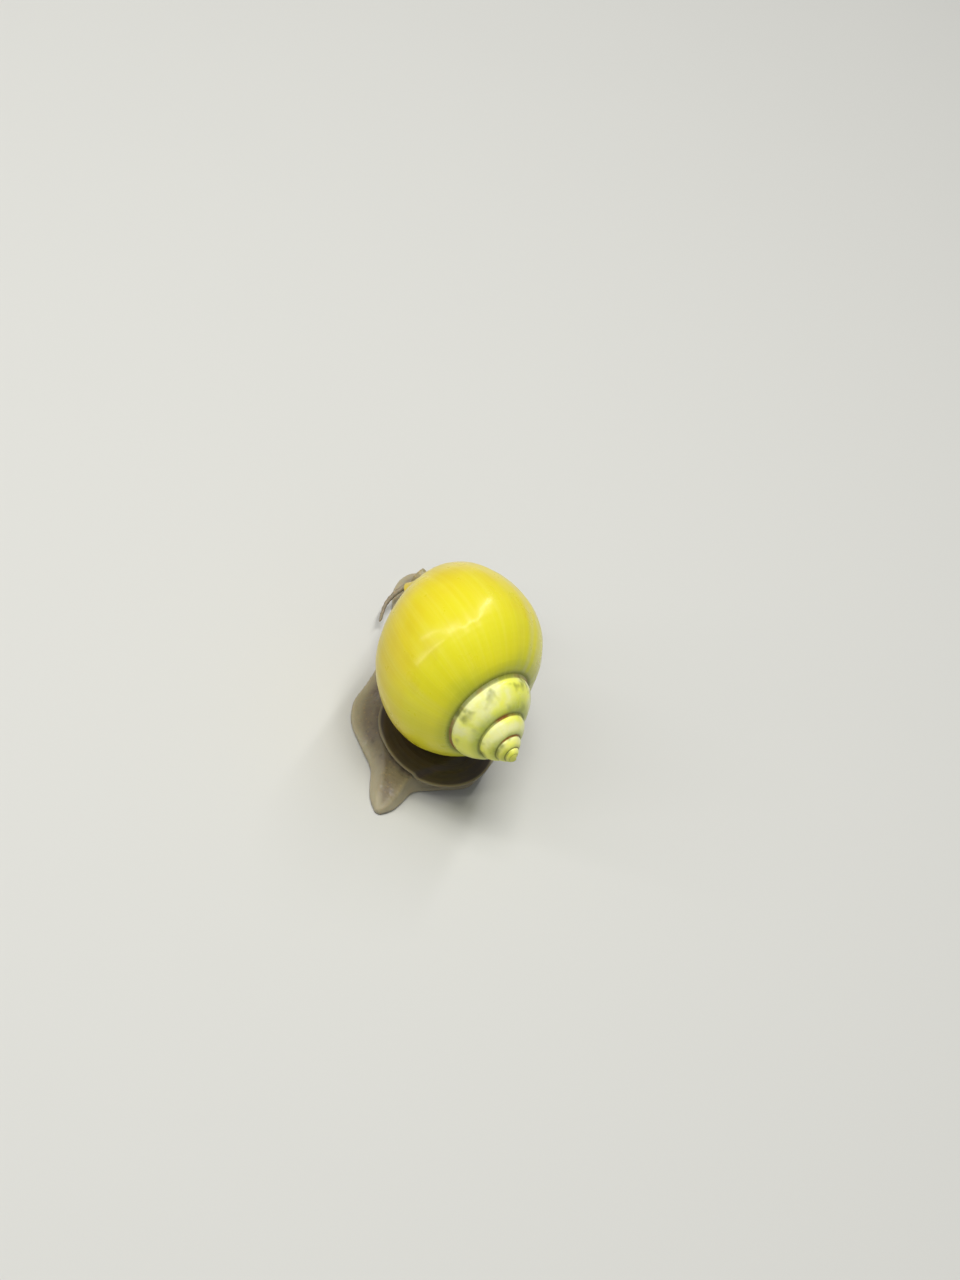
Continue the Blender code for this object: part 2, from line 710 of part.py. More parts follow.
def circle(point, side, up, radius, sides):
    """A ring of points square to a path."""
    angles = [WHOLE_TURN * j / sides for j in range(sides)]
    return [point + (side * math.cos(angle) + up * math.sin(angle)) * radius for angle in angles]


def tube_rings(path, radii, sides, span=(0.0, 1.0)):
    """Round cross-sections along a smooth path, between two shares of its length."""
    rows = smooth_rows(np.array(path) * MM, TUBE_READINGS)
    rings = []
    count = math.ceil((span[1] - span[0]) * TUBE_RINGS) + 1
    for i in range(count):
        share = span[0] + (span[1] - span[0]) * i / (count - 1)
        at = share * (len(rows) - 1)
        k = int(min(at, len(rows) - 2))
        point = Vector(rows[k] + (rows[k + 1] - rows[k]) * (at - k))
        radius = radii[0] + (radii[1] - radii[0]) * share
        rings.append(circle(point, *across(rows, k), radius, sides))
    if span[1] == 1.0:
        last = rings[-1]
        centre = sum(last, Vector()) / sides
        ahead = (Vector(rows[-1]) - Vector(rows[-2])).normalized()
        for share, push in TIP_ROUNDING:
            rings.append([centre + (p - centre) * share + ahead * radii[1] * push for p in last])
    return rings


def head_room():
    """The head grown by the gap, to cut clear the roots that sit on it."""
    return ring_solid("head_room", head_rings((0.0, 1.0), GAP))


def make_tentacles():
    """Both tentacles, each in three lengths from root to tip."""
    pieces = len(TENTACLE_PIECES)
    for way, path in TENTACLE_PATHS.items():
        rows = smooth_rows(np.array(path) * MM, TUBE_READINGS)
        trim = GAP / 2 / float(np.linalg.norm(np.diff(rows, axis=0), axis=1).sum())
        for k, piece in enumerate(TENTACLE_PIECES):
            start = k / pieces + trim if k else 0.0
            stop = (k + 1) / pieces - trim if k < pieces - 1 else 1.0
            rings = tube_rings(path, TENTACLE_RADII, FEELER_SIDES, (start, stop))
            feeler = ring_solid("tentacle_%s_%s" % (way, piece), rings)
            if k == 0:
                combine(feeler, [head_room()], "DIFFERENCE")
            finish(feeler, "flesh")


def make_palps():
    """The labial palps at the corners of the snout."""
    for way, path in PALP_PATHS.items():
        palp = ring_solid("palp_" + way, tube_rings(path, PALP_RADII, FEELER_SIDES))
        combine(palp, [head_room()], "DIFFERENCE")
        finish(palp, "flesh")


def make_eyes():
    """The eyes, each set in the end of its stalk."""
    for way, path in EYE_STALK_PATHS.items():
        stalk = ring_solid("eye_stalk_" + way, tube_rings(path, EYE_STALK_RADII, EYE_STALK_SIDES))
        end = Vector(path[-1]) * MM
        ahead = (end - Vector(path[0]) * MM).normalized()
        middle = end + ahead * EYE_STALK_RADII[1] * EYE_PAST_STALK
        room = ball("eye_room", middle, Vector((1, 1, 1)) * (EYE_RADIUS + GAP), *EYE_SIDES)
        combine(stalk, [head_room(), room], "DIFFERENCE")
        finish(stalk, "flesh")
        finish(ball("eye_" + way, middle, Vector((1, 1, 1)) * EYE_RADIUS, *EYE_SIDES), "eye")


def lobe_rings(lobe):
    """Cross-sections of a rolled lobe: an arc of flesh of even thickness along a path."""
    rows = smooth_rows(np.array(lobe["path"]) * MM, LOBE_READINGS)
    root, waist, tip = lobe["radii"]
    rings = []
    for i in range(LOBE_RINGS):
        t = i / (LOBE_RINGS - 1)
        k = round(t * (len(rows) - 1))
        side, up = across(rows, k)
        radius = (1 - t) ** 2 * root + 2 * t * (1 - t) * waist + t * t * tip
        ring = []
        for reach, order in ((radius, 1), (radius - LOBE_WALL, -1)):
            for j in range(LOBE_ARC_STEPS + 1):
                angle = lobe["middle"] + order * (j / LOBE_ARC_STEPS - 0.5) * lobe["arc"]
                ring.append(Vector(rows[k]) + (side * math.cos(angle) + up * math.sin(angle)) * reach)
        rings.append(ring)
    return rings


def make_lobes():
    """The breathing siphon on the left of the neck and the smaller lobe on its right."""
    for name, lobe in LOBES.items():
        flap = ring_solid(name, lobe_rings(lobe))
        combine(flap, [head_room(), column_solid("column_room", GAP)], "DIFFERENCE")
        finish(flap, "mantle")


def main():
    """Make every part of the snail."""
    clear_scene()
    make_shell()
    make_mantle()
    make_foot()
    make_operculum()
    finish(column_solid("body_column"), "flesh")
    make_head()
    make_tentacles()
    make_palps()
    make_eyes()
    make_lobes()


main()
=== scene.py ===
"""A gold apple snail crawling, life size: its fine shell, one moist skin, the horn plate and the eyes.

Sizes are in millimetres until a mesh is made, and in metres in the mesh. Named angles are in degrees. +Z is
up, the head is towards -Y, and the animal's left is +X. The shell is dextral: seen from its apex it grows
clockwise.
"""

import logging
import math
from dataclasses import dataclass
from enum import Enum
from typing import Callable

import bmesh
import bpy
import numpy as np
from mathutils import Matrix, Vector, noise
from mathutils.kdtree import KDTree


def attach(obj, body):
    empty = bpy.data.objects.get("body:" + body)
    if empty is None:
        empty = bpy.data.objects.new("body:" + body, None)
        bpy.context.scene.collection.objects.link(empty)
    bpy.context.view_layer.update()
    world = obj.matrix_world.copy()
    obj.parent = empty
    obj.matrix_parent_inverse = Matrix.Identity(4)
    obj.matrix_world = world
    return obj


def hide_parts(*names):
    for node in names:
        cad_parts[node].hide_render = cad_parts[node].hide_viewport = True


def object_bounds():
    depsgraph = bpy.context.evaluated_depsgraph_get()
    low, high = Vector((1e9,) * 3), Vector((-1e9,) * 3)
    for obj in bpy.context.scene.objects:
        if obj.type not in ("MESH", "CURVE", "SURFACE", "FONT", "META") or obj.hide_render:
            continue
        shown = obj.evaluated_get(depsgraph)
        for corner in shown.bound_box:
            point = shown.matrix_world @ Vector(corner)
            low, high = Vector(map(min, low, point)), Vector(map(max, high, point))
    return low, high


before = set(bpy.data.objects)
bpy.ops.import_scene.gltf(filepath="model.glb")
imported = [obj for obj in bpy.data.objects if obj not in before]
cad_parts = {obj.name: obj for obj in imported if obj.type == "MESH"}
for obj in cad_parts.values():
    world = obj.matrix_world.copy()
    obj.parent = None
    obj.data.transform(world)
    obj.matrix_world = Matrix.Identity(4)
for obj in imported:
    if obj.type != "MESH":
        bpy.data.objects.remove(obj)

CAD_BOX = [list(corner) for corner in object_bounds()]
BODY = "root"
MM = 0.001
WHOLE_TURN = 2 * math.pi
BISECTIONS = 30

Colour = tuple[float, float, float]
Place = Callable[[float, float], tuple]
Socket = bpy.types.NodeSocket

log = logging.getLogger("apple_snail")


class Part(Enum):
    """Regions of the flesh, which the skin's relief and colours follow."""

    FOOT = 0
    COLUMN = 1
    HEAD = 2
    FEELER = 3
    STALK = 4
    LOBE = 5
    MANTLE = 6
    PAD = 7


class Slot(Enum):
    """Material slots of the record."""

    SHELL = "shell"
    OPERCULUM = "operculum"
    FLESH = "flesh"
    EYE = "eye"


def deselect() -> None:
    """Go to object mode with nothing selected."""
    if bpy.context.mode != "OBJECT":
        bpy.ops.object.mode_set(mode="OBJECT")
    bpy.ops.object.select_all(action="DESELECT")


def pick(*pieces: bpy.types.Object) -> None:
    """Select only these pieces, with the first one active.

    Args:
        pieces: The objects to select.
    """
    deselect()
    for piece in pieces:
        piece.select_set(True)
    bpy.context.view_layer.objects.active = pieces[0]


def points_of(piece: bpy.types.Object) -> np.ndarray:
    """Read a mesh's points.

    Args:
        piece: A mesh object.

    Returns:
        One row of x, y and z for each point, in metres.
    """
    found = np.empty(len(piece.data.vertices) * 3)
    piece.data.vertices.foreach_get("co", found)
    return found.reshape(-1, 3)


def move_points(piece: bpy.types.Object, points: np.ndarray) -> None:
    """Put a mesh's points at new places.

    Args:
        piece: A mesh object.
        points: One row for each point, in metres.
    """
    piece.data.vertices.foreach_set("co", points.astype(np.float32).ravel())
    piece.data.update()


def apply_modifier(piece: bpy.types.Object, kind: str, **settings: object) -> None:
    """Add a modifier to a piece and apply it.

    Args:
        piece: The object.
        kind: The modifier's type.
        settings: Its properties.
    """
    pick(piece)
    made = piece.modifiers.new(kind.title(), kind)
    for key, value in settings.items():
        setattr(made, key, value)
    bpy.ops.object.modifier_apply(modifier=made.name)


def keep_attribute(piece: bpy.types.Object, name: str, values: np.ndarray) -> None:
    """Store a number for each point of a mesh.

    Args:
        piece: A mesh object.
        name: The attribute's name.
        values: One number for each point.
    """
    made = piece.data.attributes.new(name, "FLOAT", "POINT")
    made.data.foreach_set("value", values.astype(np.float32))


def rolled(name: str, sides: int, rings: int, place: Place) -> bpy.types.Object:
    """Add a cylinder, cut it into rings, and bend it to a form.

    Args:
        name: The new object's name.
        sides: How many sides the cylinder has.
        rings: How many rings of points it has, with both ends.
        place: Gives the x, y and z in millimetres at a share of the length and an angle.

    Returns:
        The closed mesh object.
    """
    deselect()
    bpy.ops.mesh.primitive_cylinder_add(vertices=sides, radius=1, depth=1, end_fill_type="NGON")
    piece = bpy.context.active_object
    piece.name = name
    bpy.ops.object.mode_set(mode="EDIT")
    bpy.ops.mesh.select_mode(type="EDGE")
    bpy.ops.mesh.select_all(action="DESELECT")
    mesh = bmesh.from_edit_mesh(piece.data)
    half = 0.5
    for edge in mesh.edges:
        edge.select_set(abs(edge.verts[0].co.z - edge.verts[1].co.z) > half)
    bmesh.update_edit_mesh(piece.data)
    if rings > 2:
        bpy.ops.mesh.subdivide(number_cuts=rings - 2)
    bpy.ops.object.mode_set(mode="OBJECT")
    shares = points_of(piece)
    placed = [place(min(max(z + half, 0.0), 1.0), math.atan2(y, x) % WHOLE_TURN) for x, y, z in shares]
    move_points(piece, np.array(placed) * MM)
    bpy.ops.object.mode_set(mode="EDIT")
    bpy.ops.mesh.select_all(action="SELECT")
    bpy.ops.mesh.normals_make_consistent(inside=False)
    bpy.ops.object.mode_set(mode="OBJECT")
    return piece


def eased(value: float, low: float, high: float) -> float:
    """Rise smoothly from 0 at low to 1 at high."""
    share = min(max((value - low) / (high - low), 0.0), 1.0)
    return share * share * (3 - 2 * share)


def eased_all(values: np.ndarray, low: float, high: float) -> np.ndarray:
    """Rise smoothly from 0 at low to 1 at high, for each value."""
    share = np.clip((values - low) / (high - low), 0.0, 1.0)
    return share * share * (3 - 2 * share)


def squared(angle: float, squareness: float) -> tuple[float, float]:
    """Give a place on a unit ring, which is a circle at squareness 2 and boxy above it.

    Args:
        angle: The angle round the ring, in radians.
        squareness: How boxy the ring is.

    Returns:
        The place, across and up.
    """
    power = 2 / squareness
    c, s = math.cos(angle), math.sin(angle)
    return math.copysign(abs(c) ** power, c), math.copysign(abs(s) ** power, s)


def read_curve(knots: np.ndarray, rows: np.ndarray, slopes: np.ndarray, here: float) -> np.ndarray:
    """Read a smooth curve between its rows.

    Args:
        knots: Where each row stands.
        rows: The rows of numbers that the curve passes through.
        slopes: The slope at each row.
        here: Where to read it.

    Returns:
        The row of numbers there.
    """
    i = int(np.clip(np.searchsorted(knots, here) - 1, 0, len(knots) - 2))
    span = knots[i + 1] - knots[i]
    t = (here - knots[i]) / span
    before = (1 + 2 * t) * (1 - t) ** 2 * rows[i] + t * (1 - t) ** 2 * span * slopes[i]
    after = t * t * (3 - 2 * t) * rows[i + 1] + t * t * (t - 1) * span * slopes[i + 1]
    return before + after


class Curve:
    """A smooth curve through rows of numbers, each a place first, read by the length along the places."""

    def __init__(self, rows: tuple) -> None:
        """Fit the curve.

        Args:
            rows: The rows of numbers that it passes through.
        """
        self.table = np.array(rows, float)
        steps = np.linalg.norm(np.diff(self.table[:, :3], axis=0), axis=1)
        self.along = np.concatenate(([0.0], np.cumsum(steps)))
        self.slope = np.gradient(self.table, self.along, axis=0)

    @property
    def length(self) -> float:
        """The curve's rough length."""
        return float(self.along[-1])

    def at(self, share: float) -> np.ndarray:
        """Read the row at a share of the length.

        Args:
            share: 0 at the first row and 1 at the last.

        Returns:
            The row of numbers there.
        """
        return read_curve(self.along, self.table, self.slope, share * self.along[-1])

    def frame(self, share: float) -> tuple[Vector, Vector, Vector]:
        """Find the directions at a share of the length.

        Args:
            share: 0 at the first row and 1 at the last.

        Returns:
            The unit vectors ahead, sideways and upwards.
        """
        step = 0.01
        ahead = Vector(self.at(min(share + step, 1.0))[:3]) - Vector(self.at(max(share - step, 0.0))[:3])
        ahead.normalize()
        side = ahead.cross(Vector((0, 0, 1))).normalized()
        return ahead, side, side.cross(ahead)

    def ring_point(self, share: float, angle: float, radius: float, past: float = 0.0) -> tuple:
        """Place a point of a round tube along the curve.

        Args:
            share: The share of the curve's length.
            angle: The angle round the tube, in radians.
            radius: The tube's radius there.
            past: How far the point is pushed ahead.

        Returns:
            The point's x, y and z.
        """
        ahead, side, up = self.frame(share)
        row = Vector(self.at(share)[:3])
        return tuple(row + (side * math.cos(angle) + up * math.sin(angle)) * radius + ahead * past)


@dataclass(frozen=True)
class Spiral:
    """The growing spiral of the shell, with its sizes as they are at the lip.

    Attributes:
        apex: Where the spiral starts.
        to_right: How far the axis points from the tail towards the animal's right.
        rise: How far the axis points up.
        lip_from_top: How far clockwise from the top the lip stands.
        growth: How many times larger the spiral is after a turn.
        from_axis: Where the section's middle is, away from the axis.
        from_apex: Where the section's middle is, away from the apex.
        outer_width: The section's half width away from the axis.
        inner_width: Its half width towards the axis.
        upper_height: Its half height towards the apex.
        base_height: Its half height towards the base.
        tilt: How far it leans.
        squareness: How boxy it is, 2 for an ellipse.
        shoulder_span: The angles between which its shoulder slopes.
        shoulder_fall: The share of its size that is lost there.
        suture_search: The angles between which a section leaves the whorl before.
        cover_search: The angles between which the next whorl covers it.
        wall: The shell's thickness.
        parietal_clearance: How far the hollow stays off the whorl before, which is at 1.
        parietal_spread: How many millimetres of clearance make one more of that measure.
        mouth_middle: The middle of the mouth, away from the axis and from the apex.
        ray_step: How finely the hollow's wall is looked for.
    """

    apex: tuple[float, float, float] = (-16.8, 22.7, 19.9)
    to_right: float = 51.1
    rise: float = 6.2
    lip_from_top: float = 112.5
    growth: float = 1.8
    from_axis: float = 6.8
    from_apex: float = 27.2
    outer_width: float = 12.35
    inner_width: float = 6.3
    upper_height: float = 15.4
    base_height: float = 16.75
    tilt: float = 3.0
    squareness: float = 2.07
    shoulder_span: tuple[float, float] = (-105.0, 0.0)
    shoulder_fall: float = 0.07
    suture_search: tuple[float, float] = (-120.0, -60.0)
    cover_search: tuple[float, float] = (-40.0, 30.0)
    wall: float = 0.9
    parietal_clearance: float = 1.05
    parietal_spread: float = 8.0
    mouth_middle: tuple[float, float] = (11.0, 31.9)
    ray_step: float = 0.25

    def directions(self) -> tuple[np.ndarray, np.ndarray, np.ndarray]:
        """Find the spiral's own directions.

        Returns:
            The axis towards the apex, and the top and the clockwise side square to it.
        """
        right, rise = math.radians(self.to_right), math.radians(self.rise)
        axis = np.array((-math.cos(rise) * math.sin(right), math.cos(rise) * math.cos(right), math.sin(rise)))
        top = np.array((0.0, 0.0, 1.0)) - axis * axis[2]
        top /= np.linalg.norm(top)
        return axis, top, np.cross(top, axis)

    def points(self, turns: np.ndarray, places: np.ndarray) -> np.ndarray:
        """Place points of the spiral.

        Args:
            turns: The turn of each point in radians, 0 at the lip and less towards the apex.
            places: The distances from the axis and from the apex of each point, as at the lip.

        Returns:
            One row of x, y and z in millimetres for each point.
        """
        axis, top, side = self.directions()
        scale = self.growth ** (turns / WHOLE_TURN)
        angle = math.radians(self.lip_from_top) + turns
        out = np.cos(angle)[:, None] * top + np.sin(angle)[:, None] * side
        return np.array(self.apex) + (out * places[:, :1] - axis * places[:, 1:]) * scale[:, None]

    def half_sizes(self, u: float, v: float) -> tuple[float, float]:
        """Give the section's half width and half height on the side where a place lies."""
        return (self.outer_width if u > 0 else self.inner_width,
                self.base_height if v > 0 else self.upper_height)

    def shoulder(self, angle: float) -> float:
        """Work out how the section draws in on its sloping shoulder.

        Args:
            angle: The angle of its outline, in radians.

        Returns:
            The share of its size that the section keeps there.
        """
        start, stop = self.shoulder_span
        share = min(max((math.degrees(angle) - start) / (stop - start), 0.0), 1.0)
        return 1 - self.shoulder_fall * math.sin(math.pi * share) ** 2

    def section(self, angle: float) -> np.ndarray:
        """Place a point on the whorl's section.

        Args:
            angle: The angle of its outline, in radians.

        Returns:
            The distances from the axis and from the apex, as at the lip.
        """
        across, up = squared(angle, self.squareness)
        wide, high = self.half_sizes(across, up)
        u = across * wide * self.shoulder(angle)
        v = up * high * self.shoulder(angle)
        lean = math.radians(self.tilt)
        across, along = math.cos(lean), math.sin(lean)
        return np.array((self.from_axis + u * across - v * along, self.from_apex + u * along + v * across))

    def depth(self, place: np.ndarray, inset: float = 0.0) -> float:
        """Say how far a place lies towards the section's outline.

        Args:
            place: The distances from the axis and from the apex, as at the lip.
            inset: How far the outline is moved inwards.

        Returns:
            0 at the section's middle and 1 on the outline.
        """
        lean = math.radians(self.tilt)
        x, y = place[0] - self.from_axis, place[1] - self.from_apex
        u = x * math.cos(lean) + y * math.sin(lean)
        v = y * math.cos(lean) - x * math.sin(lean)
        wide, high = self.half_sizes(u, v)
        across = (abs(u) / (wide - inset)) ** self.squareness
        along = (abs(v) / (high - inset)) ** self.squareness
        angle = math.atan2(math.copysign(math.sqrt(along), v), math.copysign(math.sqrt(across), u))
        return (across + along) ** (1 / self.squareness) / self.shoulder(angle)

    def suture_angles(self) -> tuple[float, float]:
        """Find the sutures on the section.

        Returns:
            The angles where it leaves the whorl before, and where the next one covers it, in radians.
        """
        first, last = (math.radians(angle) for angle in self.suture_search)
        start = bisect(lambda a: self.depth(self.section(a) * self.growth) - 1, first, last)
        covered = self.section(start)[1] * self.growth
        first, last = (math.radians(angle) for angle in self.cover_search)
        return start, bisect(lambda a: self.section(a)[1] - covered, first, last)

    def in_hollow(self, place: np.ndarray, clear: float) -> bool:
        """Say whether a place lies in the hollow of the mouth.

        Args:
            place: The distances from the axis and from the apex, as at the lip.
            clear: How far it has to stay from the walls.

        Returns:
            Whether it lies there.
        """
        if self.depth(place, self.wall + clear) >= 1:
            return False
        return self.depth(place * self.growth) > self.parietal_clearance + clear / self.parietal_spread

    def hollow_edge(self, way: np.ndarray, clear: float = 0.0) -> np.ndarray:
        """Find where a ray from the middle of the mouth meets the hollow's wall.

        Args:
            way: The ray's unit direction, away from the axis and from the apex.
            clear: How far short of the wall to stop.

        Returns:
            The place where it meets the wall.
        """
        middle = np.array(self.mouth_middle)
        far = 0.0
        while self.in_hollow(middle + way * (far + self.ray_step), clear):
            far += self.ray_step
        reach = bisect(lambda d: 1 - 2 * self.in_hollow(middle + way * d, clear), far, far + self.ray_step)
        return middle + way * reach

    def place_of(self, point: np.ndarray) -> np.ndarray:
        """Measure a point in the spiral's own way.

        Args:
            point: Its x, y and z in millimetres.

        Returns:
            Its distances from the axis and from the apex.
        """
        axis = self.directions()[0]
        off = point - np.array(self.apex)
        from_apex = -float(off @ axis)
        return np.array((float(np.linalg.norm(off + axis * from_apex)), from_apex))


def bisect(rule: Callable[[float], float], low: float, high: float) -> float:
    """Find where a rule changes sign between two numbers.

    Args:
        rule: The rule.
        low: A number before the change.
        high: A number after it.

    Returns:
        The number where it changes.
    """
    for _ in range(BISECTIONS):
        middle = (low + high) / 2
        if (rule(middle) > 0) == (rule(high) > 0):
            high = middle
        else:
            low = middle
    return (low + high) / 2


SPIRAL = Spiral()
MIX_SHARE, MIX_FIRST, MIX_SECOND, MIX_RESULT = 0, 6, 7, 2


@dataclass(frozen=True)
class Relief:
    """How strongly a bump stands out: its strength, its depth in millimetres, and whether it is sunk."""

    strength: float
    depth: float
    sunk: bool = False


class Nodes:
    """A short way to write a material's nodes."""

    def __init__(self, tree: bpy.types.NodeTree) -> None:
        """Keep the tree that the nodes go into."""
        self.tree = tree

    def feed(self, node: bpy.types.Node, ins: dict) -> None:
        """Give a node its inputs.

        Args:
            node: The node.
            ins: Its inputs by name or number, each a socket to link or a value.
        """
        for key, value in ins.items():
            if isinstance(value, Socket):
                self.tree.links.new(value, node.inputs[key])
            else:
                node.inputs[key].default_value = value

    def add(self, kind: str, ins: dict | None = None, **settings: object) -> bpy.types.Node:
        """Add a node.

        Args:
            kind: The node's type.
            ins: Its inputs by name or number, each a socket to link or a value.
            settings: Its properties.

        Returns:
            The node.
        """
        node = self.tree.nodes.new(kind)
        for key, value in settings.items():
            setattr(node, key, value)
        self.feed(node, ins or {})
        return node

    def mix(self, share: object, first: object, second: object) -> Socket:
        """Mix two colours.

        Args:
            share: How much of the second colour shows, a socket or a value.
            first: The colour that shows at 0, a socket or a value.
            second: The colour that shows at 1, a socket or a value.

        Returns:
            The mixed colour.
        """
        ins = {MIX_SHARE: share}
        for key, colour in ((MIX_FIRST, first), (MIX_SECOND, second)):
            ins[key] = colour if isinstance(colour, Socket) else (*colour, 1.0)
        return self.add("ShaderNodeMix", data_type="RGBA", ins=ins).outputs[MIX_RESULT]

    def ramp(self, value: object, low: float, high: float, start: float = 0.0, stop: float = 1.0) -> Socket:
        """Carry a value smoothly from the range low to high into the range start to stop."""
        ins = {"Value": value, "From Min": low, "From Max": high, "To Min": start, "To Max": stop}
        return self.add("ShaderNodeMapRange", interpolation_type="SMOOTHSTEP", ins=ins).outputs["Result"]

    def sum(self, kind: str, first: object, second: object) -> Socket:
        """Join two numbers by a sum named as the Math node names it."""
        return self.add("ShaderNodeMath", operation=kind, ins={0: first, 1: second}).outputs[0]

    def times(self, first: object, second: object) -> Socket:
        """Multiply two numbers."""
        return self.sum("MULTIPLY", first, second)

    def noise(self, place: Socket, scale: float, detail: float = 3.0, rough: float = 0.5) -> Socket:
        """Add a cloudy pattern over a place."""
        ins = {"Vector": place, "Scale": scale, "Detail": detail, "Roughness": rough}
        return self.add("ShaderNodeTexNoise", ins=ins).outputs[0]

    def cells(self, place: Socket, scale: float, feature: str = "F1") -> Socket:
        """Add a pattern of cells, which gives the distance from the nearest cell's middle."""
        ins = {"Vector": place, "Scale": scale}
        return self.add("ShaderNodeTexVoronoi", feature=feature, ins=ins).outputs["Distance"]

    def own_place(self) -> Socket:
        """Read the place on the object."""
        return self.add("ShaderNodeTexCoord").outputs["Object"]

    def value(self, name: str) -> Socket:
        """Read an attribute of the mesh."""
        return self.add("ShaderNodeAttribute", attribute_name=name).outputs["Fac"]

    def bump(self, height: Socket, relief: Relief, under: Socket | None = None) -> Socket:
        """Raise the surface by a pattern.

        Args:
            height: The pattern.
            relief: How strongly it stands out.
            under: The bump that it lies over.

        Returns:
            The bent normal.
        """
        ins = {"Height": height, "Strength": relief.strength, "Distance": relief.depth * MM}
        if under is not None:
            ins["Normal"] = under
        return self.add("ShaderNodeBump", invert=relief.sunk, ins=ins).outputs[0]


@dataclass(frozen=True)
class Fade:
    """A smooth change from one value to another while a measure runs over a span."""

    span: tuple[float, float]
    reach: tuple[float, float] = (0.0, 1.0)

    def of(self, nodes: Nodes, measure: Socket) -> Socket:
        """Add the change of a measure."""
        return nodes.ramp(measure, *self.span, *self.reach)


@dataclass(frozen=True)
class Clouds(Fade):
    """A cloudy pattern, with so many clouds to a unit of its place, spread smoothly between two values."""

    scale: float = 1.0
    detail: float = 3.0
    rough: float = 0.5

    def over(self, nodes: Nodes, place: Socket) -> Socket:
        """Add the pattern over a place."""
        return self.of(nodes, nodes.noise(place, self.scale, self.detail, self.rough))


@dataclass(frozen=True)
class Spots(Fade):
    """Round spots, so many a metre, that fade away over a span of distances from their middles."""

    scale: float = 1.0

    def over(self, nodes: Nodes, place: Socket) -> Socket:
        """Add the spots over a place."""
        return self.of(nodes, nodes.cells(place, self.scale))


@dataclass(frozen=True)
class Gloss:
    """How a surface lets light in and shines, with its depth in millimetres."""

    inside: float = 0.0
    tint: Colour = (1.0, 0.2, 0.1)
    depth: float = 50.0
    coat: float = 0.0
    coat_rough: float = 0.03
    mirror: float = 0.5

    def ins(self) -> dict:
        """Give the shader's inputs."""
        return {"Subsurface Weight": self.inside, "Subsurface Radius": self.tint,
                "Subsurface Scale": self.depth * MM, "Coat Weight": self.coat,
                "Coat Roughness": self.coat_rough, "Specular IOR Level": self.mirror}


def new_finish(name: str) -> tuple[bpy.types.Material, Nodes, bpy.types.Node]:
    """Start a material.

    Args:
        name: The material's name.

    Returns:
        The material, its nodes and its shader.
    """
    made = bpy.data.materials.new(name)
    made.use_nodes = True
    return made, Nodes(made.node_tree), made.node_tree.nodes["Principled BSDF"]


LINE_INPUTS = ("Age", "Across", "Per mm")
# For each layer of the growth lines: its stretch along the growth, its wander across it, its share.
LINE_LAYERS = ((1.0, 0.5, 0.55), (0.31, 0.3, 0.45))
LINE_DETAIL = 2.0


def growth_line_group() -> bpy.types.NodeTree:
    """Build the group that draws fine growth lines, which the shell and the horn plate share.

    Returns:
        A group whose Lines output runs from 0 to 1 across each line.
    """
    found = bpy.data.node_groups.get("Growth lines")
    if found:
        return found
    tree = bpy.data.node_groups.new("Growth lines", "ShaderNodeTree")
    for name in LINE_INPUTS:
        tree.interface.new_socket(name, in_out="INPUT", socket_type="NodeSocketFloat")
    tree.interface.new_socket("Lines", in_out="OUTPUT", socket_type="NodeSocketFloat")
    nodes = Nodes(tree)
    given = nodes.add("NodeGroupInput").outputs
    age, across, per_mm = (given[name] for name in LINE_INPUTS)
    scaled = nodes.times(age, per_mm)
    layers = []
    for stretch, wander, share in LINE_LAYERS:
        ins = {"X": nodes.times(scaled, stretch), "Y": nodes.times(across, wander)}
        place = nodes.add("ShaderNodeCombineXYZ", ins=ins).outputs[0]
        layers.append(nodes.times(nodes.noise(place, 1.0, LINE_DETAIL), share))
    nodes.add("NodeGroupOutput", ins={"Lines": nodes.sum("ADD", *layers)})
    return tree


def growth_lines(nodes: Nodes, age: Socket, across: object, per_mm: float) -> Socket:
    """Place the growth line group in a material.

    Args:
        nodes: The material's nodes.
        age: How far the shell or the plate had grown, in millimetres.
        across: The share across a whorl, a socket or a value.
        per_mm: How many lines there are to a millimetre.

    Returns:
        A value from 0 to 1 across each line.
    """
    ins = {"Age": age, "Across": across, "Per mm": per_mm}
    return nodes.add("ShaderNodeGroup", node_tree=growth_line_group(), ins=ins).outputs["Lines"]


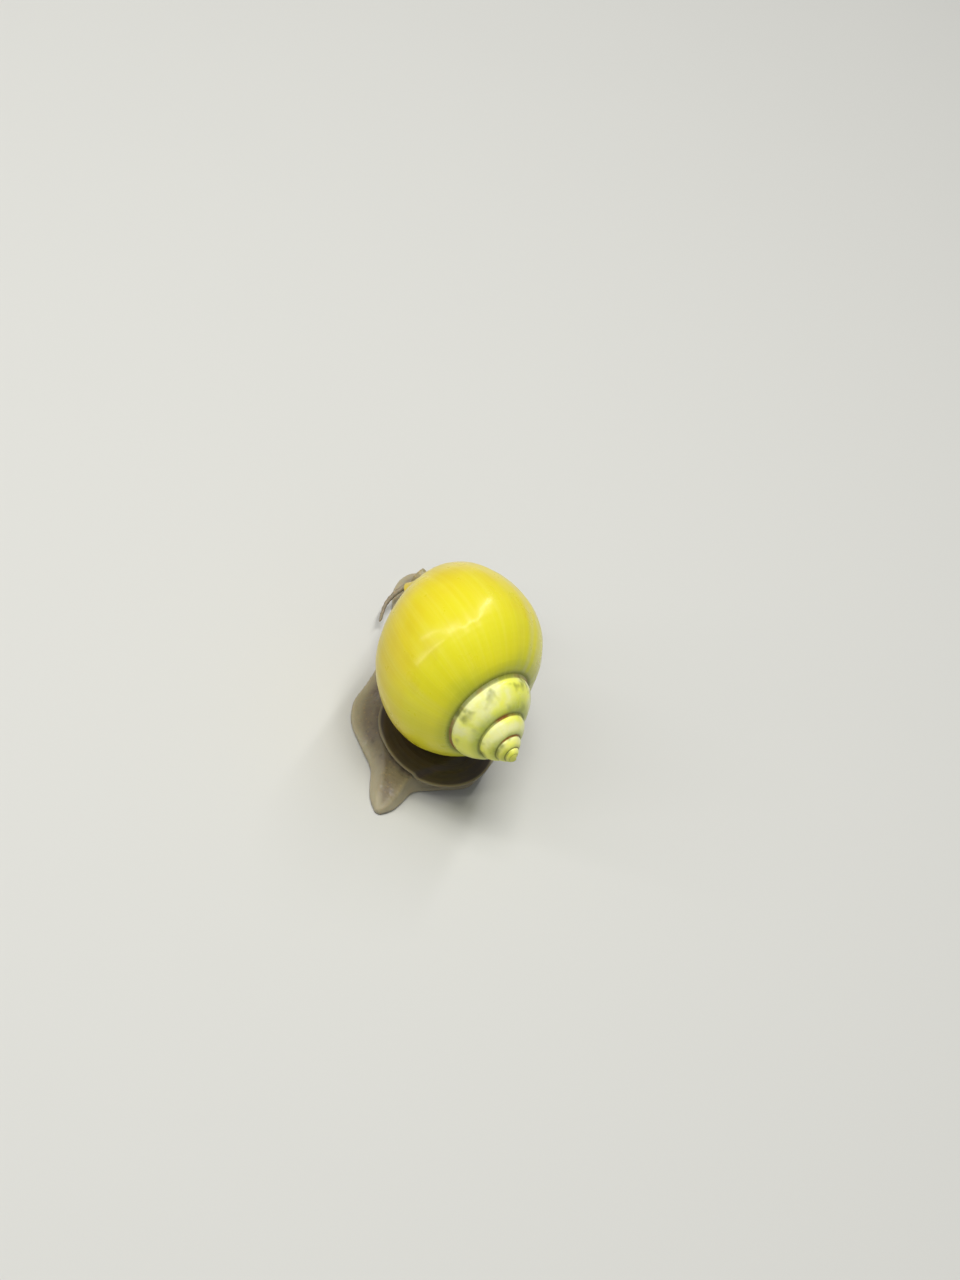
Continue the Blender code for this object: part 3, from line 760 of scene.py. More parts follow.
@dataclass(frozen=True)
class ShellFinish:
    """Satin lemon shell with growth lines, a chalky spire and brown suture stains; painted shade makes it
    golden to ochre on the base and green to olive at the sutures.

    Its spans are of the growth map: age in millimetres, and the share across a whorl.
    """

    lemon: Colour = (0.76, 0.71, 0.018)
    golden: Colour = (0.74, 0.60, 0.016)
    ochre: Colour = (0.56, 0.40, 0.025)
    spire: Colour = (0.86, 0.88, 0.12)
    chalk: Colour = (0.86, 0.87, 0.40)
    # Painted shade colour: green near the sutures.
    shade_green: Colour = (0.36, 0.44, 0.035)
    # Olive for the spire's blotches, and for painted shade along the sutures.
    olive: Colour = (0.11, 0.13, 0.014)
    stain: Colour = (0.26, 0.10, 0.018)
    pale: Colour = (0.88, 0.84, 0.16)
    wander: Clouds = Clouds((0.3, 0.7), (-0.16, 0.16), 70.0)
    # Painted shade: golden, then ochre, towards the base of the whorl, away from the light.
    golden_shade_across: Fade = Fade((0.75, 1.35))
    ochre_shade_across: Fade = Fade((1.1, 1.7), (0.0, 0.7))
    band_stretch: tuple[float, float, float] = (0.09, 1.3, 1.0)
    bands: Clouds = Clouds((0.52, 0.8), (0.0, 0.5), 1.0, 4.0)
    spire_ages: Fade = Fade((130.0, 110.0))
    chalkiness: Clouds = Clouds((0.40, 0.62), scale=190.0)
    # Painted shade: green on the last whorls, near the suture above.
    green_shade_across: Fade = Fade((0.55, 0.05))
    green_shade_ages: Fade = Fade((195.0, 130.0), (0.6, 0.75))
    green_shade_birth: Fade = Fade((5.0, 70.0), (0.3, 1.0))
    blotches: Clouds = Clouds((0.50, 0.68), scale=330.0, detail=2.0)
    blotches_across: Fade = Fade((0.55, 0.9), (0.25, 0.8))
    # Painted shade: olive along the suture groove, on the whorl above and the whorl below.
    suture_shade_above: Fade = Fade((0.11, 0.0))
    suture_shade_below: Fade = Fade((0.93, 0.99))
    suture_shade_ages: Fade = Fade((116.0, 113.0))
    suture_shade_share: float = 0.75
    suture_rough: float = 0.7
    stains: Clouds = Clouds((0.48, 0.62), scale=150.0, detail=2.0)
    lines_per_mm: float = 2.6
    pale_lines: Fade = Fade((0.42, 0.70), (0.0, 0.16))
    line_relief: Relief = Relief(0.2, 0.12)
    pit_scale: float = 900.0
    pit_relief: Relief = Relief(0.15, 0.05)
    satin: Clouds = Clouds((0.3, 0.7), (0.26, 0.38), 260.0)
    gloss: Gloss = Gloss(
        inside=0.08, tint=(1.0, 0.7, 0.05), depth=1.2, coat=0.25, coat_rough=0.16, mirror=0.35)

    def make(self) -> bpy.types.Material:
        """Build the material.

        Returns:
            The material.
        """
        made, nodes, shader = new_finish("Golden shell")
        age_map = nodes.add("ShaderNodeUVMap", uv_map="growth").outputs[0]
        age, across, _ = nodes.add("ShaderNodeSeparateXYZ", ins={0: age_map}).outputs
        place = nodes.own_place()
        lines = growth_lines(nodes, age, across, self.lines_per_mm)
        young = self.spire_ages.of(nodes, age)

        wander = nodes.sum("ADD", across, self.wander.over(nodes, place))
        # Lemon turning golden towards the base: painted shade of the underside.
        colour = nodes.mix(self.golden_shade_across.of(nodes, wander), self.lemon, self.golden)
        banded = nodes.add("ShaderNodeMapping", ins={"Vector": age_map, "Scale": self.band_stretch})
        colour = nodes.mix(self.bands.over(nodes, banded.outputs[0]), colour, self.ochre)
        # Ochre further towards the base: painted shade of the underside. The ochre bands above are the
        # shell's own tone.
        colour = nodes.mix(self.ochre_shade_across.of(nodes, wander), colour, self.ochre)
        chalky = nodes.mix(self.chalkiness.over(nodes, place), self.spire, self.chalk)
        colour = nodes.mix(young, colour, chalky)
        # Green near the suture above, on the last whorls: painted shade.
        shade_green = nodes.times(self.green_shade_across.of(nodes, wander), self.green_shade_ages.of(nodes, age))
        colour = nodes.mix(nodes.times(shade_green, self.green_shade_birth.of(nodes, age)), colour, self.shade_green)
        lowest = nodes.times(young, self.blotches_across.of(nodes, across))
        colour = nodes.mix(nodes.times(self.blotches.over(nodes, place), lowest), colour, self.olive)
        # Olive along the sutures: painted shade in their groove. The same band places the brown stains and
        # the rougher finish.
        below = nodes.times(self.suture_shade_below.of(nodes, across), self.suture_shade_ages.of(nodes, age))
        suture = nodes.sum("MAXIMUM", self.suture_shade_above.of(nodes, across), below)
        colour = nodes.mix(nodes.times(suture, self.suture_shade_share), colour, self.olive)
        stains = nodes.times(suture, self.stains.over(nodes, place))
        colour = nodes.mix(nodes.times(stains, young), colour, self.stain)
        colour = nodes.mix(self.pale_lines.of(nodes, lines), colour, self.pale)

        worn = nodes.times(suture, self.suture_rough)
        lined = nodes.bump(lines, self.line_relief)
        pits = nodes.noise(place, self.pit_scale, detail=2.0)
        pitted = nodes.bump(pits, self.pit_relief, lined)
        nodes.feed(shader, {
            "Base Color": colour, "Normal": pitted,
            "Roughness": nodes.sum("MAXIMUM", self.satin.over(nodes, place), worn), **self.gloss.ins()})
        return made


@dataclass(frozen=True)
class SkinFinish:
    """Moist greyish-tan skin with a purple bloom, dark freckles, gold flecks and pale margins."""

    tan: Colour = (0.24, 0.20, 0.115)
    purple: Colour = (0.16, 0.12, 0.10)
    dark: Colour = (0.08, 0.062, 0.042)
    pale: Colour = (0.42, 0.37, 0.24)
    gold: Colour = (0.55, 0.38, 0.11)
    collar: Colour = (0.46, 0.39, 0.18)
    bloom: Clouds = Clouds((0.35, 0.68), scale=120.0, rough=0.6)
    mottle: Clouds = Clouds((0.50, 0.75), (0.0, 0.6), 520.0, rough=0.6)
    freckles: Spots = Spots((0.32, 0.18), scale=1500.0)
    freckle_patches: Clouds = Clouds((0.42, 0.6), scale=300.0)
    freckles_on_head: Fade = Fade((0.0, 1.0), (0.25, 0.75))
    flecks: Spots = Spots((0.26, 0.16), scale=1150.0)
    flecks_on_head: Fade = Fade((0.2, 1.0), (0.15, 0.7))
    wetness: Clouds = Clouds((0.3, 0.7), (0.32, 0.58), 700.0)
    grain_scale: float = 2600.0
    grain_relief: Relief = Relief(0.35, 0.08, sunk=True)
    crease_scale: float = 1300.0
    crease_relief: Relief = Relief(0.3, 0.1)
    gloss: Gloss = Gloss(inside=0.2, tint=(1.0, 0.45, 0.25), depth=0.9, coat=0.2, coat_rough=0.18)

    def make(self) -> bpy.types.Material:
        """Build the material from the skin's attributes and patterns on its own place.

        Returns:
            The material.
        """
        made, nodes, shader = new_finish("Moist skin")
        place, head = nodes.own_place(), nodes.value("head")
        colour = nodes.mix(self.bloom.over(nodes, place), self.tan, self.purple)
        colour = nodes.mix(self.mottle.over(nodes, place), colour, self.dark)
        freckles = nodes.times(self.freckles.over(nodes, place), self.freckle_patches.over(nodes, place))
        colour = nodes.mix(nodes.times(freckles, self.freckles_on_head.of(nodes, head)), colour, self.dark)
        flecks = nodes.times(self.flecks.over(nodes, place), self.flecks_on_head.of(nodes, head))
        colour = nodes.mix(flecks, colour, self.gold)
        for region, shade in (("mantle", self.collar), ("pale", self.pale)):
            colour = nodes.mix(nodes.value(region), colour, shade)
        grains = nodes.bump(nodes.cells(place, self.grain_scale, "SMOOTH_F1"), self.grain_relief)
        creases = nodes.noise(place, self.crease_scale, detail=4.0)
        nodes.feed(shader, {
            "Base Color": colour, "Normal": nodes.bump(creases, self.crease_relief, grains),
            "Roughness": self.wetness.over(nodes, place), **self.gloss.ins()})
        return made


@dataclass(frozen=True)
class HornFinish:
    """Dark brown horn with fine rings, and a thin pale rim."""

    brown: Colour = (0.085, 0.060, 0.038)
    dark: Colour = (0.040, 0.030, 0.022)
    rim: Colour = (0.34, 0.29, 0.17)
    lines_per_mm: float = 4.0
    dark_lines: Fade = Fade((0.36, 0.66))
    dark_clouds: Clouds = Clouds((0.4, 0.7), (0.0, 0.5), 180.0)
    rim_from_middle: Fade = Fade((10.4, 10.85), (0.0, 0.8))
    line_rough: Fade = Fade((0.3, 0.7), (0.3, 0.46))
    line_relief: Relief = Relief(0.5, 0.1)
    gloss: Gloss = Gloss(inside=0.1, depth=0.6)

    def make(self) -> bpy.types.Material:
        """Build the material from the plate's own ring attribute.

        Returns:
            The material.
        """
        made, nodes, shader = new_finish("Brown horn")
        ring = nodes.value("ring")
        lines = growth_lines(nodes, ring, 0.0, self.lines_per_mm)
        colour = nodes.mix(self.dark_lines.of(nodes, lines), self.brown, self.dark)
        colour = nodes.mix(self.dark_clouds.over(nodes, nodes.own_place()), colour, self.dark)
        colour = nodes.mix(self.rim_from_middle.of(nodes, ring), colour, self.rim)
        nodes.feed(shader, {
            "Base Color": colour, "Normal": nodes.bump(lines, self.line_relief),
            "Roughness": self.line_rough.of(nodes, lines), **self.gloss.ins()})
        return made


@dataclass(frozen=True)
class EyeFinish:
    """A wet black eye with a thin golden ring, measured in quarter turns from the pupil's middle."""

    black: Colour = (0.006, 0.005, 0.005)
    ring: Colour = (0.45, 0.28, 0.08)
    ring_starts: Fade = Fade((0.50, 0.58))
    ring_stops: Fade = Fade((0.74, 0.66))
    wetness: Fade = Fade((0.5, 0.9), (0.06, 0.2))
    gloss: Gloss = Gloss(coat=1.0)

    def make(self) -> bpy.types.Material:
        """Build the material from the eye's own turn attribute.

        Returns:
            The material.
        """
        made, nodes, shader = new_finish("Wet eye")
        turn = nodes.value("ring")
        band = nodes.times(self.ring_starts.of(nodes, turn), self.ring_stops.of(nodes, turn))
        nodes.feed(shader, {
            "Base Color": nodes.mix(band, self.black, self.ring),
            "Roughness": self.wetness.of(nodes, turn), **self.gloss.ins()})
        return made


@dataclass(frozen=True)
class FloorFinish:
    """Plain pale matt floor."""

    pale: Colour = (0.62, 0.62, 0.60)
    matt: Clouds = Clouds((0.3, 0.7), (0.7, 0.8), 40.0)

    def make(self) -> bpy.types.Material:
        """Build the material.

        Returns:
            The material.
        """
        made, nodes, shader = new_finish("Pale floor")
        rough = self.matt.over(nodes, nodes.own_place())
        nodes.feed(shader, {"Base Color": (*self.pale, 1.0), "Roughness": rough})
        return made


def dress(piece: bpy.types.Object, finish: bpy.types.Material, slot: Slot, *nodes: str) -> None:
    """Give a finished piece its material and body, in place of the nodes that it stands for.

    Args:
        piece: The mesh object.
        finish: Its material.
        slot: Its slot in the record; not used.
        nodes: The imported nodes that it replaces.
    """
    piece.data.materials.clear()
    piece.data.materials.append(finish)
    piece.data.shade_smooth()
    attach(piece, BODY)
    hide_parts(*nodes)
    log.info("%s: %d points, stands for %s", piece.name, len(piece.data.vertices), ", ".join(nodes))


@dataclass
class Shell:
    """The dextral shell: one strip that winds from suture to suture, with its base and mouth.

    Attributes:
        whorls: How many turns it has.
        whorl_steps: How many rows a turn has.
        spire_steps: How many steps the strip has across a whorl.
        base_steps: How many steps the last whorl has across its base.
        base_end: The angle of the section where the base ends.
        umbilicus: How far the base is sunk at the axis.
        channel_depth: How deep the sutures are sunk.
        channel_spread: The share of a whorl that slopes into a suture.
        channel_fade: How far into the last whorl the channel below it fades.
        lip_edge: How thick the lip's edge is.
        lip_round: How far the edge stands out ahead.
        lip_curl: For each ring of the edge, its share of the way inwards and of that height.
        lip_fades: Over how many points the edge fades at the lip's two ends.
        recess: How far the mouth is sunk.
        recess_rows: How many rows its wall has.
        apex_depth: How far the cap of the first whorl stays under the apex, as a share.
        outer_path: How long the shell has grown at the lip, measured along its outside.
        waves: The growth relief, which relief() explains.
        cord_height: How high the fine cords along the whorls are.
        cord_turn: How many radians of the cords' wave cross a whorl.
        suture_fade: The share of a whorl over which the relief fades at a suture.
        rests: How far before the lip each growth rest lies.
        rest_depth: How deep a rest is.
        rest_width: How wide it is.
        inset: How far the fine shell stays inside the plain section.
    """

    whorls: int = 5
    whorl_steps: int = 200
    spire_steps: int = 48
    base_steps: int = 34
    base_end: float = 142.0
    umbilicus: float = 1.6
    channel_depth: float = 0.55
    channel_spread: float = 0.26
    channel_fade: float = 45.0
    lip_edge: float = 0.45
    lip_round: float = 0.22
    lip_curl: tuple[tuple[float, float], ...] = ((0.2, 0.8), (0.5, 1.0), (0.8, 0.8), (1.0, 0.0))
    lip_fades: tuple[int, int] = (6, 12)
    recess: float = 22.0
    recess_rows: int = 8
    apex_depth: float = 0.6
    outer_path: float = 206.0
    waves: tuple[tuple[float, ...], ...] = (
        (0.018, 3.4, 1.7, 6.1), (0.018, 5.3, 2.2, 9.7), (0.05, 23.0, 0.0, 1.0))
    cord_height: float = 0.007
    cord_turn: float = 61.0
    suture_fade: float = 0.12
    rests: tuple[float, ...] = (9.0, 21.5, 37.0, 62.0, 88.0, 121.0)
    rest_depth: float = 0.10
    rest_width: float = 0.9
    inset: float = 0.10

    def build(self) -> bpy.types.Object:
        """Make the shell's mesh.

        No operator sweeps a section that grows as it turns, so its strip is laid in mesh code.

        Returns:
            The shell object, with its growth map.
        """
        self.lay_rows()
        mesh = bmesh.new()
        verts = [mesh.verts.new(point) for point in self.points * MM]
        growth = mesh.loops.layers.uv.new("growth")
        for i in range(len(self.grid) - 1):
            near, far = self.grid[i], self.grid[i + 1]
            for k in range(min(len(near), len(far)) - 1):
                face = mesh.faces.new([verts[n] for n in (near[k], near[k + 1], far[k + 1], far[k])])
                for loop, (row, col) in zip(face.loops, ((i, k), (i, k + 1), (i + 1, k + 1), (i + 1, k))):
                    loop[growth].uv = (self.ages[row], self.across[col])
        self.close_apex(mesh, verts, growth)
        self.sink_mouth(mesh, verts, growth)
        bmesh.ops.recalc_face_normals(mesh, faces=mesh.faces)
        made = bpy.data.meshes.new("shell_fine")
        mesh.to_mesh(made)
        mesh.free()
        piece = bpy.data.objects.new("shell_fine", made)
        bpy.context.scene.collection.objects.link(piece)
        return piece

    def lay_rows(self) -> None:
        """Work out the strip's points, which neighbouring whorls share along the suture."""
        steps, spire, base = self.whorl_steps, self.spire_steps, self.base_steps
        start, end = SPIRAL.suture_angles()
        stop = math.radians(self.base_end)
        angles = np.concatenate((np.linspace(start, end, spire + 1), np.linspace(end, stop, base + 1)[1:]))
        places = np.array([SPIRAL.section(angle) for angle in angles])
        outward = places - np.array((SPIRAL.from_axis, SPIRAL.from_apex))
        outward /= np.linalg.norm(outward, axis=1)[:, None]
        self.across = np.arange(spire + base + 2) / spire
        self.last = self.whorls * steps
        self.body = self.last - steps
        turns = np.arange(-self.last, 1) / steps * WHOLE_TURN
        self.ages = self.outer_path * SPIRAL.growth ** (turns / WHOLE_TURN)
        points: list[np.ndarray] = []
        self.grid: list[list[int]] = []
        count = 0
        for i, turn in enumerate(turns):
            width = spire if i < self.body else spire + 1 + base
            relief = self.relief(i, self.across[:width])
            row = places[:width] + outward[:width] * relief[:, None]
            if i >= self.body:
                row = np.vstack((row, (0.0, places[-1][1] - self.umbilicus)))
            points.append(SPIRAL.points(np.full(len(row), turn), row))
            self.grid.append(list(range(count, count + len(row))))
            count += len(row)
        for i in range(self.body + 1):
            joined = self.grid[i + steps][0]
            if i < self.body:
                self.grid[i].append(joined)
            else:
                self.grid[i][spire] = joined
        self.points = np.vstack(points)

    def relief(self, row: int, across: np.ndarray) -> np.ndarray:
        """Work out the growth relief and the channel along the sutures.

        Each wave has a height, a length, and the turn and length of a slower one that shifts it.

        Args:
            row: The row of the strip, from the apex.
            across: Share across the whorl, 0 at the suture above it and 1 at the suture below.

        Returns:
            How far each place stands out from the plain section.
        """
        age = self.ages[row]
        wave = -self.inset
        for height, length, shift, slow_length in self.waves:
            wave += height * math.sin(WHOLE_TURN * age / length + shift * math.sin(age / slow_length))
        for rest in self.rests:
            wave -= self.rest_depth * math.exp(-((self.outer_path - age - rest) / self.rest_width) ** 2)
        cords = self.cord_height * np.sin(across * self.cord_turn)
        free = eased(self.whorl_turn(row), 0.0, self.channel_fade)
        near = np.clip(1 - across / self.channel_spread, 0.0, 1.0) ** 2
        far = np.clip(1 - np.abs(1 - across) / self.channel_spread, 0.0, 1.0) ** 2 * (1 - free)
        upper = eased_all(across, 0.0, self.suture_fade)
        lower = 1 - (1 - eased_all(np.abs(1 - across), 0.0, self.suture_fade)) * (1 - free)
        return (wave + cords) * upper * lower - self.channel_depth * (near + far * SPIRAL.growth)

    def whorl_turn(self, row: int) -> float:
        """Give how many degrees a row lies past the start of the last whorl."""
        return (row - self.body) / self.whorl_steps * 360.0

    def close_apex(self, mesh: bmesh.types.BMesh, verts: list, growth: object) -> None:
        """Cap the start of the spiral with a low dome.

        Args:
            mesh: The mesh that is being laid.
            verts: Its points, in the order of the rows.
            growth: Its growth map.
        """
        rim = [self.grid[i][0] for i in range(self.whorl_steps + 1)] + list(reversed(self.grid[0][1:-1]))
        axis = SPIRAL.directions()[0]
        depth = float((np.array(SPIRAL.apex) - self.points[self.grid[0][0]]) @ axis) * self.apex_depth
        tip = mesh.verts.new((np.array(SPIRAL.apex) - axis * depth) * MM)
        for near, far in zip(rim, rim[1:] + rim[:1]):
            face = mesh.faces.new((verts[near], verts[far], tip))
            for loop in face.loops:
                loop[growth].uv = (self.ages[0], 0.5)

    def sink_mouth(self, mesh: bmesh.types.BMesh, verts: list, growth: object) -> None:
        """Round the lip over and sink the mouth, with the columella as its inner wall.

        Args:
            mesh: The mesh that is being laid.
            verts: Its points, in the order of the rows.
            growth: Its growth map.
        """
        lip = self.grid[-1]
        axis_line = [row[-1] for row in reversed(self.grid[self.body:-1])]
        parietal = list(reversed(self.grid[self.body][self.spire_steps + 1:-1]))
        edge = lip + axis_line + parietal
        middle = np.array(SPIRAL.mouth_middle)
        ways = [SPIRAL.place_of(self.points[n]) - middle for n in edge]
        walls = np.array([SPIRAL.hollow_edge(way / np.linalg.norm(way)) for way in ways])
        flat = np.zeros(len(edge))
        outer, inner = self.points[edge], SPIRAL.points(flat, walls)
        small_turn = 0.01
        ahead = SPIRAL.points(flat + small_turn, walls) - inner
        ahead /= np.linalg.norm(ahead, axis=1)[:, None]
        along, last = np.arange(len(edge)), len(lip) - 1
        first_fade, last_fade = self.lip_fades
        on_lip = (eased_all(along, 0, first_fade) * eased_all(-along, -last, last_fade - last))[:, None]
        wall = np.linalg.norm(inner - outer, axis=1)[:, None]
        reach = 1 + (np.minimum(self.lip_edge / wall, 1.0) - 1) * on_lip
        rings = []
        for share, rise in self.lip_curl:
            rings.append(outer + (inner - outer) * reach * share + ahead * on_lip * self.lip_round * rise)
        for k in range(1, self.recess_rows + 1):
            rings.append(SPIRAL.points(flat - math.radians(self.recess) * k / self.recess_rows, walls))
        before = [verts[n] for n in edge]
        across = [self.across[min(k, len(self.across) - 1)] for k in range(len(lip))]
        across += [across[-1]] * (len(edge) - len(lip))
        for ring in rings:
            after = [mesh.verts.new(point * MM) for point in ring]
            for k in range(len(edge)):
                j = (k + 1) % len(edge)
                face = mesh.faces.new((before[k], before[j], after[j], after[k]))
                for loop, n in zip(face.loops, (k, j, j, k)):
                    loop[growth].uv = (self.ages[-1], across[n])
            before = after
        floor = mesh.verts.new(SPIRAL.points(flat[:1] - math.radians(self.recess), middle[None])[0] * MM)
        for k in range(len(edge)):
            mesh.faces.new((before[k], before[(k + 1) % len(edge)], floor))


# From the tail's tip to the front edge: place along the body, half width, middle line, height of the back.
FOOT = (
    (29.7, 0.5, -1.0, 1.0),
    (28.0, 1.9, -0.9, 1.6),
    (24.8, 3.2, -0.7, 2.5),
    (21.7, 4.3, -0.5, 3.1),
    (19.2, 7.0, -0.7, 3.5),
    (15.6, 10.9, -1.0, 3.6),
    (11.2, 12.6, -0.9, 3.6),
    (5.5, 12.9, -1.4, 3.6),
    (-1.0, 12.7, -1.2, 3.6),
    (-7.0, 12.8, -0.4, 3.6),
    (-13.0, 13.3, 0.9, 3.6),
    (-18.0, 13.8, 2.1, 3.0),
    (-21.4, 13.1, 2.6, 2.2),
    (-23.8, 11.5, 2.9, 1.6),
    (-25.4, 9.3, 3.0, 1.2),
    (-26.4, 6.9, 3.1, 1.0),
    (-26.9, 4.6, 3.1, 0.95),
)


@dataclass
class Foot:
    """The crawling foot: flat sole, thin margins and a raised back.

    Attributes:
        margin: How thick its thin edge is.
        plateau: The share of its half width where its back starts to slope.
        shoulder: The share where the slope ends.
        back: The height of its back at the middle.
        sides: How many sides its form has.
        rings: How many rings its form has.
    """

    margin: float = 0.9
    plateau: float = 0.55
    shoulder: float = 0.94
    back: float = 3.6
    sides: int = 120
    rings: int = 100

    def __post_init__(self) -> None:
        """Fit the outline along the body."""
        order = np.array(FOOT)[::-1]
        self.places = order[:, 0]
        self.values = order[:, 1:]
        self.slope = np.gradient(self.values, self.places, axis=0)

    def at(self, y: float) -> np.ndarray:
        """Give the half width, middle line and back height at a place along the body."""
        return read_curve(self.places, self.values, self.slope, y)

    def top(self, x: float, y: float) -> float:
        """Find the height of the foot's back.

        Args:
            x: The point's place across the body.
            y: Its place along the body.

        Returns:
            The height over the floor.
        """
        half, middle, back = self.at(y)
        level = 1 - eased(min(abs(x - middle) / half, 1.0), self.plateau, self.shoulder)
        return self.margin + max(back - self.margin, 0.0) * level

    def place(self, share: float, angle: float) -> tuple[float, float, float]:
        """Place a point of the foot.

        Args:
            share: 0 at the tail's tip and 1 at the front edge.
            angle: The angle round the section, in radians.

        Returns:
            The point's x, y and z.
        """
        y = FOOT[0][0] + (FOOT[-1][0] - FOOT[0][0]) * share
        half, middle, _ = self.at(y)
        x = middle + half * math.cos(angle)
        radius = self.margin / 2
        inward = min(half * (1 - abs(math.cos(angle))), radius)
        lift = math.sqrt(max(radius ** 2 - (radius - inward) ** 2, 0.0))
        if math.sin(angle) < 0:
            return x, y, radius - lift
        return x, y, radius + lift if inward < radius else self.top(x, y)

    def build(self) -> bpy.types.Object:
        """Make the foot's closed form."""
        return rolled("foot_form", self.sides, self.rings, self.place)


COLUMN_MIDDLE = (0.4, -8.6)
COLUMN_HALF_SIZES = (6.3, 6.1)
# From the neck to the snout's tip: x, y, z, half width, half height.
HEAD = (
    (0.5, -10.6, 6.3, 4.4, 2.5),
    (0.9, -14.0, 6.7, 4.8, 2.7),
    (1.5, -17.5, 6.9, 4.6, 2.8),
    (2.2, -20.5, 6.5, 4.5, 2.9),
    (2.7, -23.0, 5.7, 3.9, 2.7),
    (3.1, -25.2, 4.7, 3.1, 2.2),
    (3.3, -26.6, 4.0, 2.5, 1.7),
    (3.4, -27.4, 3.6, 1.5, 1.0),
)
LIPS = (3.35, -26.9, 3.1)
# The middle line of each tentacle, palp, eye stalk and lobe, from its root.
TENTACLES = {
    "left": ((4.2, -21.2, 7.2), (6.4, -22.0, 8.2), (9.0, -21.6, 7.4), (11.9, -19.4, 5.4),
             (14.5, -15.9, 3.8), (15.6, -11.6, 2.8), (15.0, -7.8, 2.2)),
    "right": ((0.6, -21.3, 7.2), (-1.4, -22.6, 8.2), (-4.2, -23.4, 7.8), (-7.4, -22.2, 6.4),
              (-9.9, -19.2, 4.8), (-11.4, -15.2, 3.6), (-10.7, -11.0, 3.0)),
}
PALPS = {
    "left": ((4.2, -25.6, 4.3), (5.6, -26.3, 3.8), (6.9, -27.0, 2.7), (7.7, -27.5, 1.5)),
    "right": ((2.2, -25.8, 4.3), (0.9, -26.8, 3.8), (-0.4, -27.9, 2.7), (-1.3, -28.6, 1.5)),
}
STALKS = {
    "left": ((4.4, -19.8, 7.4), (6.3, -19.6, 8.5), (8.1, -19.3, 9.5)),
    "right": ((0.0, -19.8, 7.4), (-1.9, -19.6, 8.5), (-3.7, -19.3, 9.5)),
}
SIPHON = ((3.4, -13.6, 6.8), (6.8, -14.7, 7.1), (10.2, -15.6, 7.3), (13.4, -16.5, 7.6))
RIGHT_LOBE = ((-2.2, -13.6, 6.6), (-5.2, -14.8, 6.9), (-8.0, -16.4, 6.8))
EYE_PAST_STALK = 0.9


def eye_middle(way: str) -> tuple[Vector, Vector]:
    """Find an eye.

    Args:
        way: The animal's left or right.

    Returns:
        The eye's middle in millimetres and the way that it looks.
    """
    first, last = Vector(STALKS[way][0]), Vector(STALKS[way][-1])
    ahead = (last - first).normalized()
    return last + ahead * EYE_PAST_STALK, ahead


@dataclass(frozen=True)
class Wrinkles:
    """The skin's relief: its noise in clouds a millimetre, and its folds' lengths, drifts and heights."""

    coarse_scale: float = 0.55
    fine_scale: float = 1.7
    fine_shift: tuple[float, float, float] = (7.0, 3.0, 1.0)
    coarse: float = 0.06
    fine: float = 0.05
    head_length: float = 0.95
    head_drift: float = 0.5
    head_fold: float = 0.045
    head_fine: float = 0.03
    column_length: float = 1.3
    column_drift: float = 0.6
    column_fold: float = 0.09
    feeler_length: float = 0.75
    feeler_drift: float = 0.1
    feeler_ring: float = 0.03
    feeler_coarse: float = 0.05
    feeler_fine: float = 0.03
    feelers_from: tuple[float, float] = (3.0, -21.0)
    above_sole: tuple[float, float] = (0.1, 0.7)


